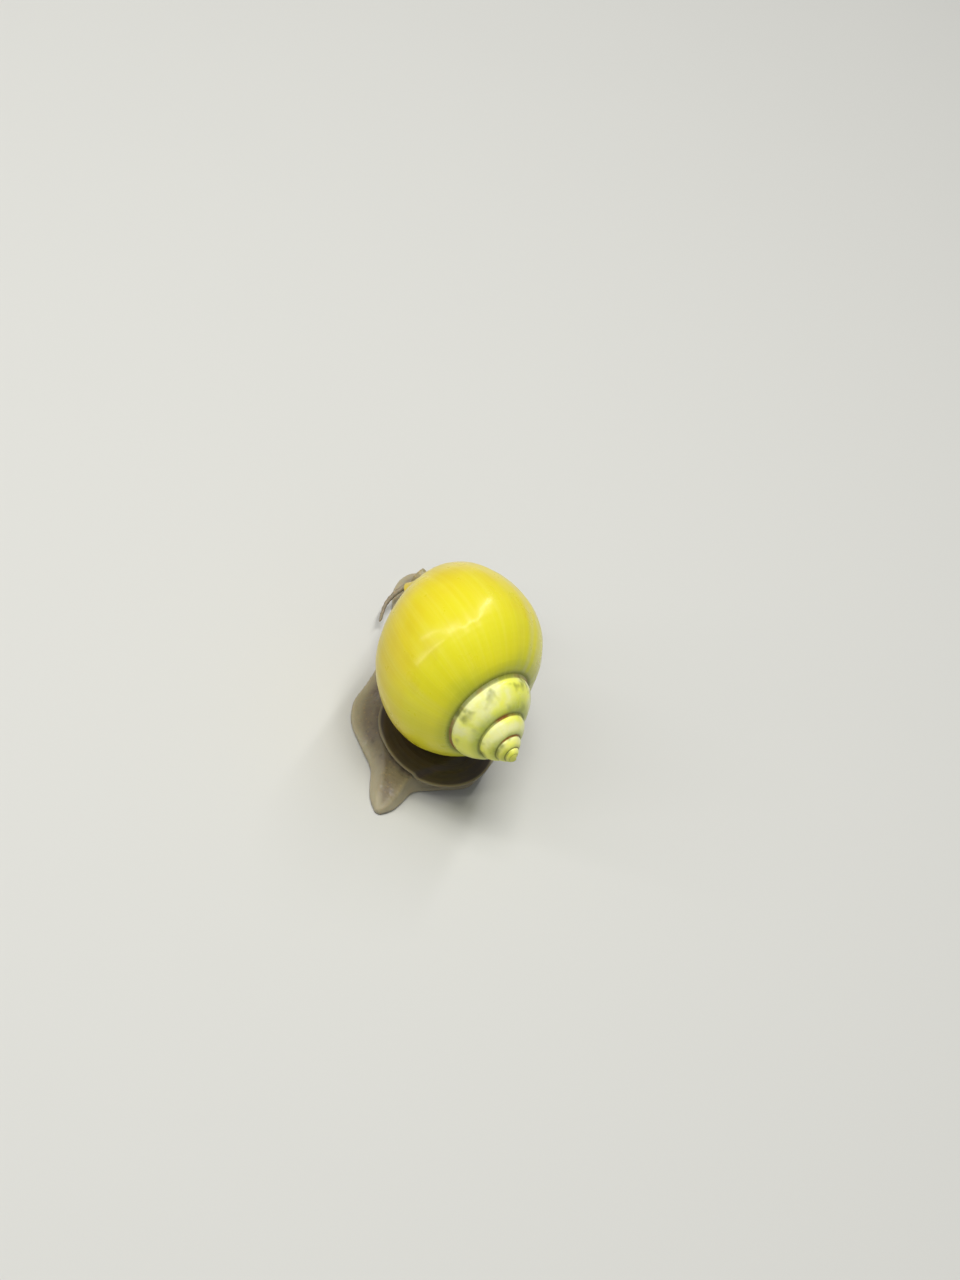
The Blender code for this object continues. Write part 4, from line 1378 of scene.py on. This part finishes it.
@dataclass
class Skin:
    """The flesh as one skin: foot, column, neck, head, feelers, lobes and the mantle's edge.

    A pair of radii is at the root and at the tip, and a lobe's three are at its root, middle and end. An arc
    is how far a lobe is rolled and where the middle of its roll points.
    """

    # How the forms are joined.
    foot: Foot
    wrinkles: Wrinkles = Wrinkles()
    voxel: float = 0.24
    smoothing: int = 6
    sole_depth: float = 0.12
    # The mantle and the column in the shell's mouth.
    mouth_clear: float = 0.25
    mantle_turns: tuple[float, float] = (-18.5, 3.5)
    collar_starts: float = 0.86
    collar_draw: float = 0.10
    column_share: float = 0.92
    column_turn: float = 3.0
    column_foot: float = 3.0
    column_flare: float = 0.35
    flare_high: float = 0.4
    # The head, the feelers and the eye stalks.
    head_squareness: float = 2.3
    lip_apart: float = 0.62
    lip_radii: tuple[float, float, float] = (0.85, 0.75, 1.25)
    tentacle_radii: tuple[float, float] = (0.95, 0.3)
    palp_radii: tuple[float, float] = (0.85, 0.3)
    feeler_step: float = 0.3
    feeler_rings: int = 12
    feeler_tip: float = 0.95
    stalk_profile: tuple[tuple[float, float], ...] = (
        (0.0, 1.3), (0.3, 1.15), (0.7, 1.05), (0.95, 1.05), (1.08, 1.0), (1.16, 0.86), (1.14, 0.74),
        (1.02, 0.66), (0.95, 0.3))
    # The two lobes and the pad under the horn plate.
    siphon_radii: tuple[float, float, float] = (2.4, 1.5, 1.9)
    siphon_arc: tuple[float, float] = (285.0, 90.0)
    lobe_radii: tuple[float, float, float] = (2.3, 2.2, 1.5)
    lobe_arc: tuple[float, float] = (150.0, -90.0)
    lobe_wall: float = 0.8
    pad_spread: tuple[float, float] = (0.86, 0.74)
    pad_low: float = 1.4
    pad_lift: float = 0.04
    # Where the skin is pale, freckled or yellowish, and how strongly.
    margin_width: tuple[float, float] = (0.4, 2.4)
    front_places: tuple[float, float] = (24.0, 26.5)
    sole_heights: tuple[float, float] = (0.05, 0.5)
    pale_margin: float = 0.85
    pale_sole: float = 0.6
    pale_feelers: float = 0.35
    freckled_feelers: float = 0.7
    yellow_lobes: float = 0.5
    most_tint: float = 0.9
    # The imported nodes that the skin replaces.
    nodes: tuple[str, ...] = (
        "foot_tail", "foot_middle", "foot_front", "body_column", "mantle_edge", "neck", "head", "snout",
        "siphon", "nuchal_lobe_right", "palp_left", "palp_right", "eye_stalk_left", "eye_stalk_right",
        "tentacle_left_base", "tentacle_left_middle", "tentacle_left_tip",
        "tentacle_right_base", "tentacle_right_middle", "tentacle_right_tip")

    def build(self) -> bpy.types.Object:
        """Join the forms into one skin, then give it its relief and regions.

        Returns:
            The skin object.
        """
        forms = self.forms()
        self.remember(forms)
        pieces = [piece for piece, _ in forms]
        pick(*pieces)
        bpy.ops.object.join()
        skin = bpy.context.active_object
        skin.name = "skin"
        apply_modifier(skin, "REMESH", mode="VOXEL", voxel_size=self.voxel * MM, adaptivity=0.0)
        apply_modifier(skin, "SMOOTH", factor=0.5, iterations=self.smoothing)
        self.relief(skin)
        self.rest_flat(skin)
        return skin

    def forms(self) -> list[tuple[bpy.types.Object, Part]]:
        """Make each closed form of the flesh, a little sunk in its neighbour.

        Returns:
            Each form with the region that it belongs to.
        """
        made = [(self.foot.build(), Part.FOOT), (self.column(), Part.COLUMN), (self.mantle(), Part.MANTLE),
                (self.head(), Part.HEAD), (self.pad(), Part.PAD)]
        for way in (-1, 1):
            made.append((self.lip(way), Part.HEAD))
        for paths, radii in ((TENTACLES, self.tentacle_radii), (PALPS, self.palp_radii)):
            for path in paths.values():
                made.append((self.feeler(path, *radii), Part.FEELER))
        for path in STALKS.values():
            made.append((self.stalk(path), Part.STALK))
        made.append((self.lobe(SIPHON, self.siphon_radii, *self.siphon_arc), Part.LOBE))
        made.append((self.lobe(RIGHT_LOBE, self.lobe_radii, *self.lobe_arc), Part.LOBE))
        return made

    def remember(self, forms: list[tuple[bpy.types.Object, Part]]) -> None:
        """Keep the forms' points, so that the joined skin can be told apart again."""
        self.sources = np.vstack([points_of(piece) for piece, _ in forms])
        self.labels = np.concatenate([np.full(len(piece.data.vertices), part.value) for piece, part in forms])

    def outline(self, count: int, share: float = 1.0) -> list[np.ndarray]:
        """Find the outline of the flesh in the shell's mouth.

        Args:
            count: How many places it has.
            share: How much of the way from the mouth's middle it reaches.

        Returns:
            Its places, in the mouth's own plane.
        """
        middle = np.array(SPIRAL.mouth_middle)
        found = []
        for k in range(count):
            angle = WHOLE_TURN * k / count
            edge = SPIRAL.hollow_edge(np.array((math.cos(angle), math.sin(angle))), self.mouth_clear)
            found.append(middle + (edge - middle) * share)
        return found

    def mantle(self) -> bpy.types.Object:
        """Make the mantle edge: the plug in the mouth, with a soft collar just past the lip.

        Returns:
            The closed form.
        """
        sides, rings = 120, 24
        outline = self.outline(sides)
        middle = np.array(SPIRAL.mouth_middle)
        first, last = self.mantle_turns

        def place(share: float, angle: float) -> tuple:
            """Place a point of the form.

            Args:
                share: The share of its length.
                angle: The angle round it, in radians.

            Returns:
                The point's x, y and z.
            """
            edge = outline[round(angle / WHOLE_TURN * sides) % sides]
            turn = math.radians(first + (last - first) * share)
            spread = 1.0 - self.collar_draw * eased(share, self.collar_starts, 1.0) ** 2
            at = middle + (edge - middle) * spread
            return tuple(SPIRAL.points(np.array([turn]), at[None])[0])

        return rolled("mantle_form", sides, rings, place)

    def column(self) -> bpy.types.Object:
        """Make the body column that rises from the foot into the shell's mouth.

        Returns:
            The closed form.
        """
        sides, rings = 96, 30
        outline = self.outline(sides, self.column_share)
        upper = SPIRAL.points(np.full(sides, math.radians(self.column_turn)), np.array(outline))
        centre = upper.mean(axis=0)

        def place(share: float, angle: float) -> tuple:
            """Place a point of the form.

            Args:
                share: The share of its length.
                angle: The angle round it, in radians.

            Returns:
                The point's x, y and z.
            """
            high = upper[round(angle / WHOLE_TURN * sides) % sides]
            flat = high[:2] - centre[:2]
            flat = flat / np.linalg.norm(flat)
            flare = 1 + self.column_flare * (1 - eased(share, 0.0, self.flare_high)) ** 2
            reach = flare / math.hypot(flat[0] / COLUMN_HALF_SIZES[0], flat[1] / COLUMN_HALF_SIZES[1])
            low = np.append(np.array(COLUMN_MIDDLE) + flat * reach, self.column_foot)
            point = low + (high - low) * eased(share, 0.0, 1.0)
            point[2] = low[2] + (high[2] - low[2]) * share
            return tuple(point)

        return rolled("column_form", sides, rings, place)

    def head(self) -> bpy.types.Object:
        """Make the neck, head and snout as one form.

        Returns:
            The closed form.
        """
        curve = Curve(HEAD)

        def place(share: float, angle: float) -> tuple:
            """Place a point of the form.

            Args:
                share: The share of its length.
                angle: The angle round it, in radians.

            Returns:
                The point's x, y and z.
            """
            row = curve.at(share)
            _, side, up = curve.frame(share)
            u, v = squared(angle, self.head_squareness)
            return tuple(Vector(row[:3]) + side * (u * row[3]) + up * (v * row[4]))

        return rolled("head_form", sides=72, rings=60, place=place)

    def lip(self, way: int) -> bpy.types.Object:
        """Make one of the two lips under the snout's tip.

        Args:
            way: -1 or 1, for the animal's right or left.

        Returns:
            The closed form.
        """
        middle, radii = (LIPS[0] + self.lip_apart * way, LIPS[1], LIPS[2]), self.lip_radii

        def place(share: float, angle: float) -> tuple:
            """Place a point of the form.

            Args:
                share: The share of its length.
                angle: The angle round it, in radians.

            Returns:
                The point's x, y and z.
            """
            turn = math.pi * share
            ring = math.sin(turn)
            return (middle[0] + radii[0] * ring * math.cos(angle),
                    middle[1] + radii[1] * ring * math.sin(angle),
                    middle[2] - radii[2] * math.cos(turn))

        return rolled("lip_form", sides=24, rings=14, place=place)

    def feeler(self, rows: tuple, root: float, tip: float) -> bpy.types.Object:
        """Make a tapering feeler with a round tip.

        Args:
            rows: The places along its middle.
            root: Its radius at the root.
            tip: Its radius at the tip.

        Returns:
            The closed form.
        """
        curve = Curve(rows)
        rings = max(round(curve.length / self.feeler_step), self.feeler_rings)

        def place(share: float, angle: float) -> tuple:
            """Place a point of the form.

            Args:
                share: The share of its length.
                angle: The angle round it, in radians.

            Returns:
                The point's x, y and z.
            """
            radius = root + (tip - root) * share
            left = (1 - share) * curve.length + tip * self.feeler_tip
            if left < radius:
                radius = math.sqrt(max(radius ** 2 - (radius - left) ** 2, 0.0))
            return curve.ring_point(share, angle, radius, tip * self.feeler_tip * share)

        return rolled("feeler_form", sides=24, rings=rings, place=place)

    def stalk(self, rows: tuple) -> bpy.types.Object:
        """Make an eye stalk with a soft rim round its eye.

        Args:
            rows: The places along its middle.

        Returns:
            The closed form.
        """
        curve, profile = Curve(rows), self.stalk_profile

        def place(share: float, angle: float) -> tuple:
            """Place a point of the form.

            Args:
                share: The share of its length.
                angle: The angle round it, in radians.

            Returns:
                The point's x, y and z.
            """
            at = share * (len(profile) - 1)
            k = min(int(at), len(profile) - 2)
            along, radius = (profile[k][j] + (profile[k + 1][j] - profile[k][j]) * (at - k) for j in (0, 1))
            return curve.ring_point(min(along, 1.0), angle, radius, max(along - 1.0, 0.0) * curve.length)

        return rolled("stalk_form", sides=32, rings=33, place=place)

    def lobe(self, rows: tuple, radii: tuple, arc: float, facing: float) -> bpy.types.Object:
        """Make a rolled lobe of even thickness.

        Args:
            rows: The places along its middle.
            radii: Its outer radius at the root, halfway and at the end.
            arc: How far it is rolled.
            facing: Where the middle of its roll points, from sideways to upwards.

        Returns:
            The closed form.
        """
        curve = Curve(rows)

        def place(share: float, angle: float) -> tuple:
            """Place a point of the form.

            Args:
                share: The share of its length.
                angle: The angle round it, in radians.

            Returns:
                The point's x, y and z.
            """
            radius = (1 - share) ** 2 * radii[0] + 2 * share * (1 - share) * radii[1] + share ** 2 * radii[2]
            round_way = angle / math.pi
            outer = round_way < 1
            swing = (round_way if outer else 2 - round_way) - 0.5
            turn = math.radians(facing + swing * arc)
            return curve.ring_point(share, turn, radius if outer else radius - self.lobe_wall)

        return rolled("lobe_form", sides=80, rings=30, place=place)

    def pad(self) -> bpy.types.Object:
        """Make the low pad of flesh that carries the horn plate.

        Returns:
            The closed form.
        """
        low, (wide, narrow) = self.pad_low, self.pad_spread

        def place(share: float, angle: float) -> tuple:
            """Place a point of the form.

            Args:
                share: The share of its length.
                angle: The angle round it, in radians.

            Returns:
                The point's x, y and z.
            """
            spread = wide + (narrow - wide) * share
            x = PLATE.middle[0] + PLATE.half_width * spread * math.cos(angle)
            y = PLATE.middle[1] + PLATE.half_length * spread * math.sin(angle)
            return x, y, low + (PLATE.underside(x, y, self.foot) + self.pad_lift - low) * share

        return rolled("pad_form", sides=72, rings=8, place=place)

    def regions(self, skin: bpy.types.Object) -> dict[Part, np.ndarray]:
        """Tell the joined skin's regions apart by the forms' points nearest to it.

        Args:
            skin: The joined skin.

        Returns:
            For each region, its share of each point.
        """
        tree = KDTree(len(self.sources))
        for i, point in enumerate(self.sources):
            tree.insert(point, i)
        tree.balance()
        labels = self.labels[[tree.find(point)[1] for point in points_of(skin)]]
        return {part: self.soften(skin, (labels == part.value).astype(float)) for part in Part}

    def relief(self, skin: bpy.types.Object) -> None:
        """Work wrinkles and grain into the skin, and store its regions for the material.

        Args:
            skin: The joined skin.
        """
        points = points_of(skin)
        normals = np.empty(len(points) * 3)
        skin.data.vertices.foreach_get("normal", normals)
        regions, place, made = self.regions(skin), points / MM, self.wrinkles
        shift = Vector(made.fine_shift)
        coarse = np.array([noise.noise(Vector(p) * made.coarse_scale) for p in place])
        fine = np.array([noise.noise(Vector(p) * made.fine_scale + shift) for p in place])
        plain = made.coarse * coarse + made.fine * fine
        lift = plain + regions[Part.HEAD] * self.head_folds(place, coarse, fine)
        across = WHOLE_TURN * (place[:, 2] + made.column_drift * coarse) / made.column_length
        lift += regions[Part.COLUMN] * made.column_fold * np.sin(across)
        lift += regions[Part.FEELER] * self.feeler_rings_at(place, coarse, fine)
        lift -= regions[Part.PAD] * plain
        above = eased_all(place[:, 2], *made.above_sole)
        move_points(skin, points + normals.reshape(-1, 3) * (lift * above * MM)[:, None])
        self.colour_regions(skin, place, regions)

    def head_folds(self, place: np.ndarray, coarse: np.ndarray, fine: np.ndarray) -> np.ndarray:
        """Work out the wandering folds across the neck and head.

        Args:
            place: The skin's points in millimetres.
            coarse: The coarse noise at each point.
            fine: The fine noise at each point.

        Returns:
            How far each point stands out.
        """
        made = self.wrinkles
        folds = np.sin(WHOLE_TURN * (place[:, 1] + made.head_drift * coarse) / made.head_length)
        return made.head_fold * (folds * (0.5 + 0.5 * coarse)) + made.head_fine * fine

    def feeler_rings_at(self, place: np.ndarray, coarse: np.ndarray, fine: np.ndarray) -> np.ndarray:
        """Work out the rings of the feelers, with less of the plain grain.

        Args:
            place: The skin's points in millimetres.
            coarse: The coarse noise at each point.
            fine: The fine noise at each point.

        Returns:
            How far each point stands out.
        """
        made = self.wrinkles
        away = np.hypot(place[:, 0] - made.feelers_from[0], place[:, 1] - made.feelers_from[1])
        rings = np.sin(WHOLE_TURN * (away + made.feeler_drift * fine) / made.feeler_length)
        return made.feeler_ring * rings - made.feeler_coarse * coarse - made.feeler_fine * fine

    def colour_regions(self, skin: bpy.types.Object, place: np.ndarray, regions: dict) -> None:
        """Store where the skin is pale, freckled like the head, or yellowish like the mantle.

        Args:
            skin: The joined skin.
            place: Its points in millimetres, before its relief.
            regions: For each region, its share of each point.
        """
        foot, feeler, lobe = regions[Part.FOOT], regions[Part.FEELER], regions[Part.LOBE]
        half = np.array([self.foot.at(float(np.clip(v, FOOT[-1][0], FOOT[0][0])))[:2] for v in place[:, 1]])
        from_edge = half[:, 0] - np.abs(place[:, 0] - half[:, 1])
        thin, thick = self.margin_width
        margin = eased_all(-from_edge, -thick, -thin) * foot
        front = eased_all(-place[:, 1], *self.front_places) * foot
        sole = 1 - eased_all(place[:, 2], *self.sole_heights)
        pale = self.pale_margin * np.maximum(margin, front) + self.pale_sole * sole
        pale += self.pale_feelers * feeler
        head = regions[Part.HEAD] + regions[Part.STALK] + lobe + self.freckled_feelers * feeler
        mantle = regions[Part.MANTLE] + self.yellow_lobes * lobe
        keep_attribute(skin, "pale", np.clip(pale, 0, self.most_tint))
        keep_attribute(skin, "head", np.clip(head, 0, 1))
        keep_attribute(skin, "mantle", np.clip(mantle, 0, self.most_tint))

    def soften(self, skin: bpy.types.Object, values: np.ndarray, rounds: int = 6) -> np.ndarray:
        """Spread a value over neighbouring points.

        Args:
            skin: The joined skin.
            values: One number for each point.
            rounds: How often each point takes the mean of itself and its neighbours.

        Returns:
            The softened numbers.
        """
        edges = np.empty(len(skin.data.edges) * 2, int)
        skin.data.edges.foreach_get("vertices", edges)
        first, second = edges.reshape(-1, 2).T
        count = np.bincount(np.concatenate((first, second)), minlength=len(values)) + 1
        for _ in range(rounds):
            total = values.copy()
            np.add.at(total, first, values[second])
            np.add.at(total, second, values[first])
            values = total / count
        return values

    def rest_flat(self, skin: bpy.types.Object) -> None:
        """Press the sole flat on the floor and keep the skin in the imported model's box.

        Args:
            skin: The joined skin.
        """
        points = points_of(skin)
        low, high = np.array(CAD_BOX[0]), np.array(CAD_BOX[1])
        points[:, 2] = np.where(points[:, 2] < self.sole_depth * MM, 0.0, points[:, 2])
        move_points(skin, np.clip(points, low, high))


@dataclass
class Plate:
    """The operculum: a thin horny plate carried on the back of the tail.

    Attributes:
        middle: Its place across and along the body.
        half_width: Its half width.
        half_length: Its half length.
        thickness: Its thickness at the middle.
        dome: How far its edge is lower than its middle.
        clearance: How far it stays off the foot.
        blend: Over what height its dome runs softly into its rest on the foot.
        roundness: How its points draw together towards the rim.
        rim_share: The share of its thickness that is left at the rim.
        rim_power: How late it thins towards the rim.
        ring_height: How high its growth rings are.
        rings: How many rings it has.
        ring_power: How late the rings fade towards the rim.
    """

    middle: tuple[float, float] = (-3.3, 10.6)
    half_width: float = 10.5
    half_length: float = 10.9
    thickness: float = 0.8
    dome: float = 1.2
    clearance: float = 0.36
    blend: float = 0.8
    roundness: float = 0.8
    rim_share: float = 0.35
    rim_power: int = 6
    ring_height: float = 0.03
    rings: int = 9
    ring_power: int = 8

    def underside(self, x: float, y: float, foot: Foot) -> float:
        """Find the height of the plate's underside.

        Args:
            x: The point's place across the body.
            y: Its place along the body.
            foot: The foot that the plate lies on.

        Returns:
            The height over the floor.
        """
        u, v = (x - self.middle[0]) / self.half_width, (y - self.middle[1]) / self.half_length
        dome = foot.back + self.clearance - self.dome * (u * u + v * v)
        rest = foot.top(x, y) + self.clearance
        near = max(1 - abs(rest - dome) / self.blend, 0.0)
        return max(rest, dome) + near * near * self.blend / 4

    def build(self, foot: Foot) -> bpy.types.Object:
        """Make the plate with a thin rim and raised growth rings.

        Args:
            foot: The foot that it lies on.

        Returns:
            The plate object.
        """

        def place(share: float, angle: float) -> tuple:
            """Place a point of the form.

            Args:
                share: The share of its length.
                angle: The angle round it, in radians.

            Returns:
                The point's x, y and z.
            """
            over = share > 0.5
            spread = math.sin(math.pi * share) ** self.roundness if 0 < share < 1 else 0.0
            x = self.middle[0] + self.half_width * spread * math.cos(angle)
            y = self.middle[1] + self.half_length * spread * math.sin(angle)
            low = self.underside(x, y, foot)
            body = (1 - self.rim_share) * (1 - spread ** self.rim_power)
            thick = self.thickness * (self.rim_share + body)
            wave = math.sin(WHOLE_TURN * spread * self.rings)
            ring = self.ring_height * wave * (1 - spread ** self.ring_power)
            middle = low + self.thickness / 2
            return x, y, middle + (thick / 2 + ring if over else -thick / 2)

        plate = rolled("operculum_fine", sides=128, rings=101, place=place)
        points = points_of(plate) / MM
        across = (points[:, 0] - self.middle[0]) * self.half_length / self.half_width
        keep_attribute(plate, "ring", np.hypot(across, points[:, 1] - self.middle[1]))
        return plate


PLATE = Plate()


@dataclass
class Eyes:
    """Both eyes, each a wet ball set in the end of its stalk, with turns from its pupil in radians."""

    radius: float = 0.6
    sunk: float = 0.97
    bulge: float = 0.05
    pupil_width: float = 0.5
    iris_turn: float = 0.85
    iris_width: float = 0.2

    def build(self, way: str) -> bpy.types.Object:
        """Make one eye with its flat iris and bulging pupil.

        Args:
            way: The animal's left or right.

        Returns:
            The eye object.
        """
        middle, ahead = eye_middle(way)
        deselect()
        bpy.ops.mesh.primitive_uv_sphere_add(segments=48, ring_count=24, radius=self.radius * MM)
        eye = bpy.context.active_object
        eye.name = "eye_fine_" + way
        points = points_of(eye)
        turn = np.arccos(np.clip(points[:, 2] / (self.radius * MM), -1, 1))
        pupil = np.exp(-(turn / self.pupil_width) ** 2)
        iris = np.exp(-((turn - self.iris_turn) / self.iris_width) ** 2)
        points *= ((1 + self.bulge * pupil - self.bulge * iris) * self.sunk)[:, None]
        turned = np.array(ahead.to_track_quat("Z", "Y").to_matrix())
        move_points(eye, points @ turned.T + np.array(middle) * MM)
        keep_attribute(eye, "ring", turn / (math.pi / 2))
        return eye


LIT_POINT = (0.0, 0.0, 0.02)
WARM, WHITE, COOL = (1.0, 0.98, 0.93), (1.0, 1.0, 0.97), (0.95, 0.98, 1.0)


@dataclass(frozen=True)
class Lamp:
    """A soft light, with its place and size in metres, its power in watts, and whether gloss mirrors it."""

    name: str
    place: tuple[float, float, float]
    size: tuple[float, float]
    power: float
    colour: Colour
    mirrored: bool

    def add(self) -> None:
        """Add the light, facing the snail."""
        made = bpy.data.lights.new(self.name, "AREA")
        made.shape = "RECTANGLE"
        made.size, made.size_y = self.size
        made.energy = self.power
        made.color = self.colour
        lamp = bpy.data.objects.new(self.name, made)
        lamp.location = self.place
        lamp.rotation_euler = (Vector(self.place) - Vector(LIT_POINT)).to_track_quat("Z", "Y").to_euler()
        lamp.visible_glossy = self.mirrored
        bpy.context.scene.collection.objects.link(lamp)


LAMPS = (
    Lamp("key", (0.09, 0.02, 0.72), (0.34, 0.34), 2.9, WARM, False),
    Lamp("strip_ahead", (-0.02, -0.32, 0.62), (0.04, 0.66), 1.2, WHITE, True),
    Lamp("strip_above", (0.13, 0.04, 0.66), (0.04, 0.34), 0.7, WHITE, True),
    Lamp("strip_left", (0.50, 0.16, 0.48), (0.04, 0.50), 0.6, WHITE, True),
    Lamp("strip_low", (0.40, 0.37, 0.40), (0.04, 0.56), 0.6, WHITE, True),
    Lamp("fill", (-0.40, 0.60, 0.40), (0.6, 0.6), 0.3, COOL, False),
)


@dataclass
class Studio:
    """Plain pale floor, soft light and the camera at the photo's angle."""

    camera_far: float = 400.0
    frame_high: float = 207.5
    roll: float = 29.0
    elevation: float = 45.0
    frame_middle: tuple[float, float, float] = (-2.03, 12.11, 29.89)
    film: float = 24.0
    nearest: float = 0.01
    floor_radius: float = 3.0
    room: Colour = (0.9, 0.92, 0.93)
    room_strength: float = 0.20

    def axes(self) -> tuple[Vector, Vector, Vector]:
        """Work out how the camera is turned.

        Returns:
            Its right, up and backward directions.
        """
        lean, roll = math.radians(self.elevation), math.radians(self.roll)
        level = Vector((-1, 0, 0))
        rise = Vector((0, -math.sin(lean), math.cos(lean)))
        right = level * math.cos(roll) + rise * math.sin(roll)
        up = rise * math.cos(roll) - level * math.sin(roll)
        return right, up, right.cross(up)

    def camera(self) -> None:
        """Add the camera, with the snail where the photo has it."""
        right, up, back = self.axes()
        place = (Vector(self.frame_middle) + back * self.camera_far) * MM
        made = bpy.data.cameras.new("camera")
        made.sensor_fit = "VERTICAL"
        made.sensor_height = self.film
        made.lens = self.film * self.camera_far / self.frame_high
        made.clip_start = self.nearest
        camera = bpy.data.objects.new("camera", made)
        turned = Matrix((right, up, back)).transposed()
        camera.matrix_world = Matrix.Translation(place) @ turned.to_4x4()
        bpy.context.scene.collection.objects.link(camera)
        bpy.context.scene.camera = camera

    def build(self) -> None:
        """Add the floor, the lights, the surrounding light and the camera."""
        deselect()
        bpy.ops.mesh.primitive_circle_add(vertices=96, radius=self.floor_radius, fill_type="NGON")
        floor = bpy.context.active_object
        floor.name = "floor"
        floor.data.materials.append(FloorFinish().make())
        for lamp in LAMPS:
            lamp.add()
        world = bpy.data.worlds.new("soft_room")
        world.use_nodes = True
        room = world.node_tree.nodes["Background"].inputs
        room["Color"].default_value = (*self.room, 1.0)
        room["Strength"].default_value = self.room_strength
        bpy.context.scene.world = world
        bpy.context.scene.view_settings.view_transform = "Standard"
        self.camera()


def main() -> None:
    """Build the studio and each piece of the snail."""
    logging.basicConfig(level=logging.INFO, format="%(name)s: %(message)s")
    Studio().build()
    foot = Foot()
    dress(Shell().build(), ShellFinish().make(), Slot.SHELL, "shell")
    flesh = Skin(foot)
    dress(flesh.build(), SkinFinish().make(), Slot.FLESH, *flesh.nodes)
    plate = PLATE.build(foot)
    dress(plate, HornFinish().make(), Slot.OPERCULUM, "operculum")
    for way in STALKS:
        eye = Eyes().build(way)
        dress(eye, EyeFinish().make(), Slot.EYE, "eye_" + way)


if __name__ == "__main__":
    main()
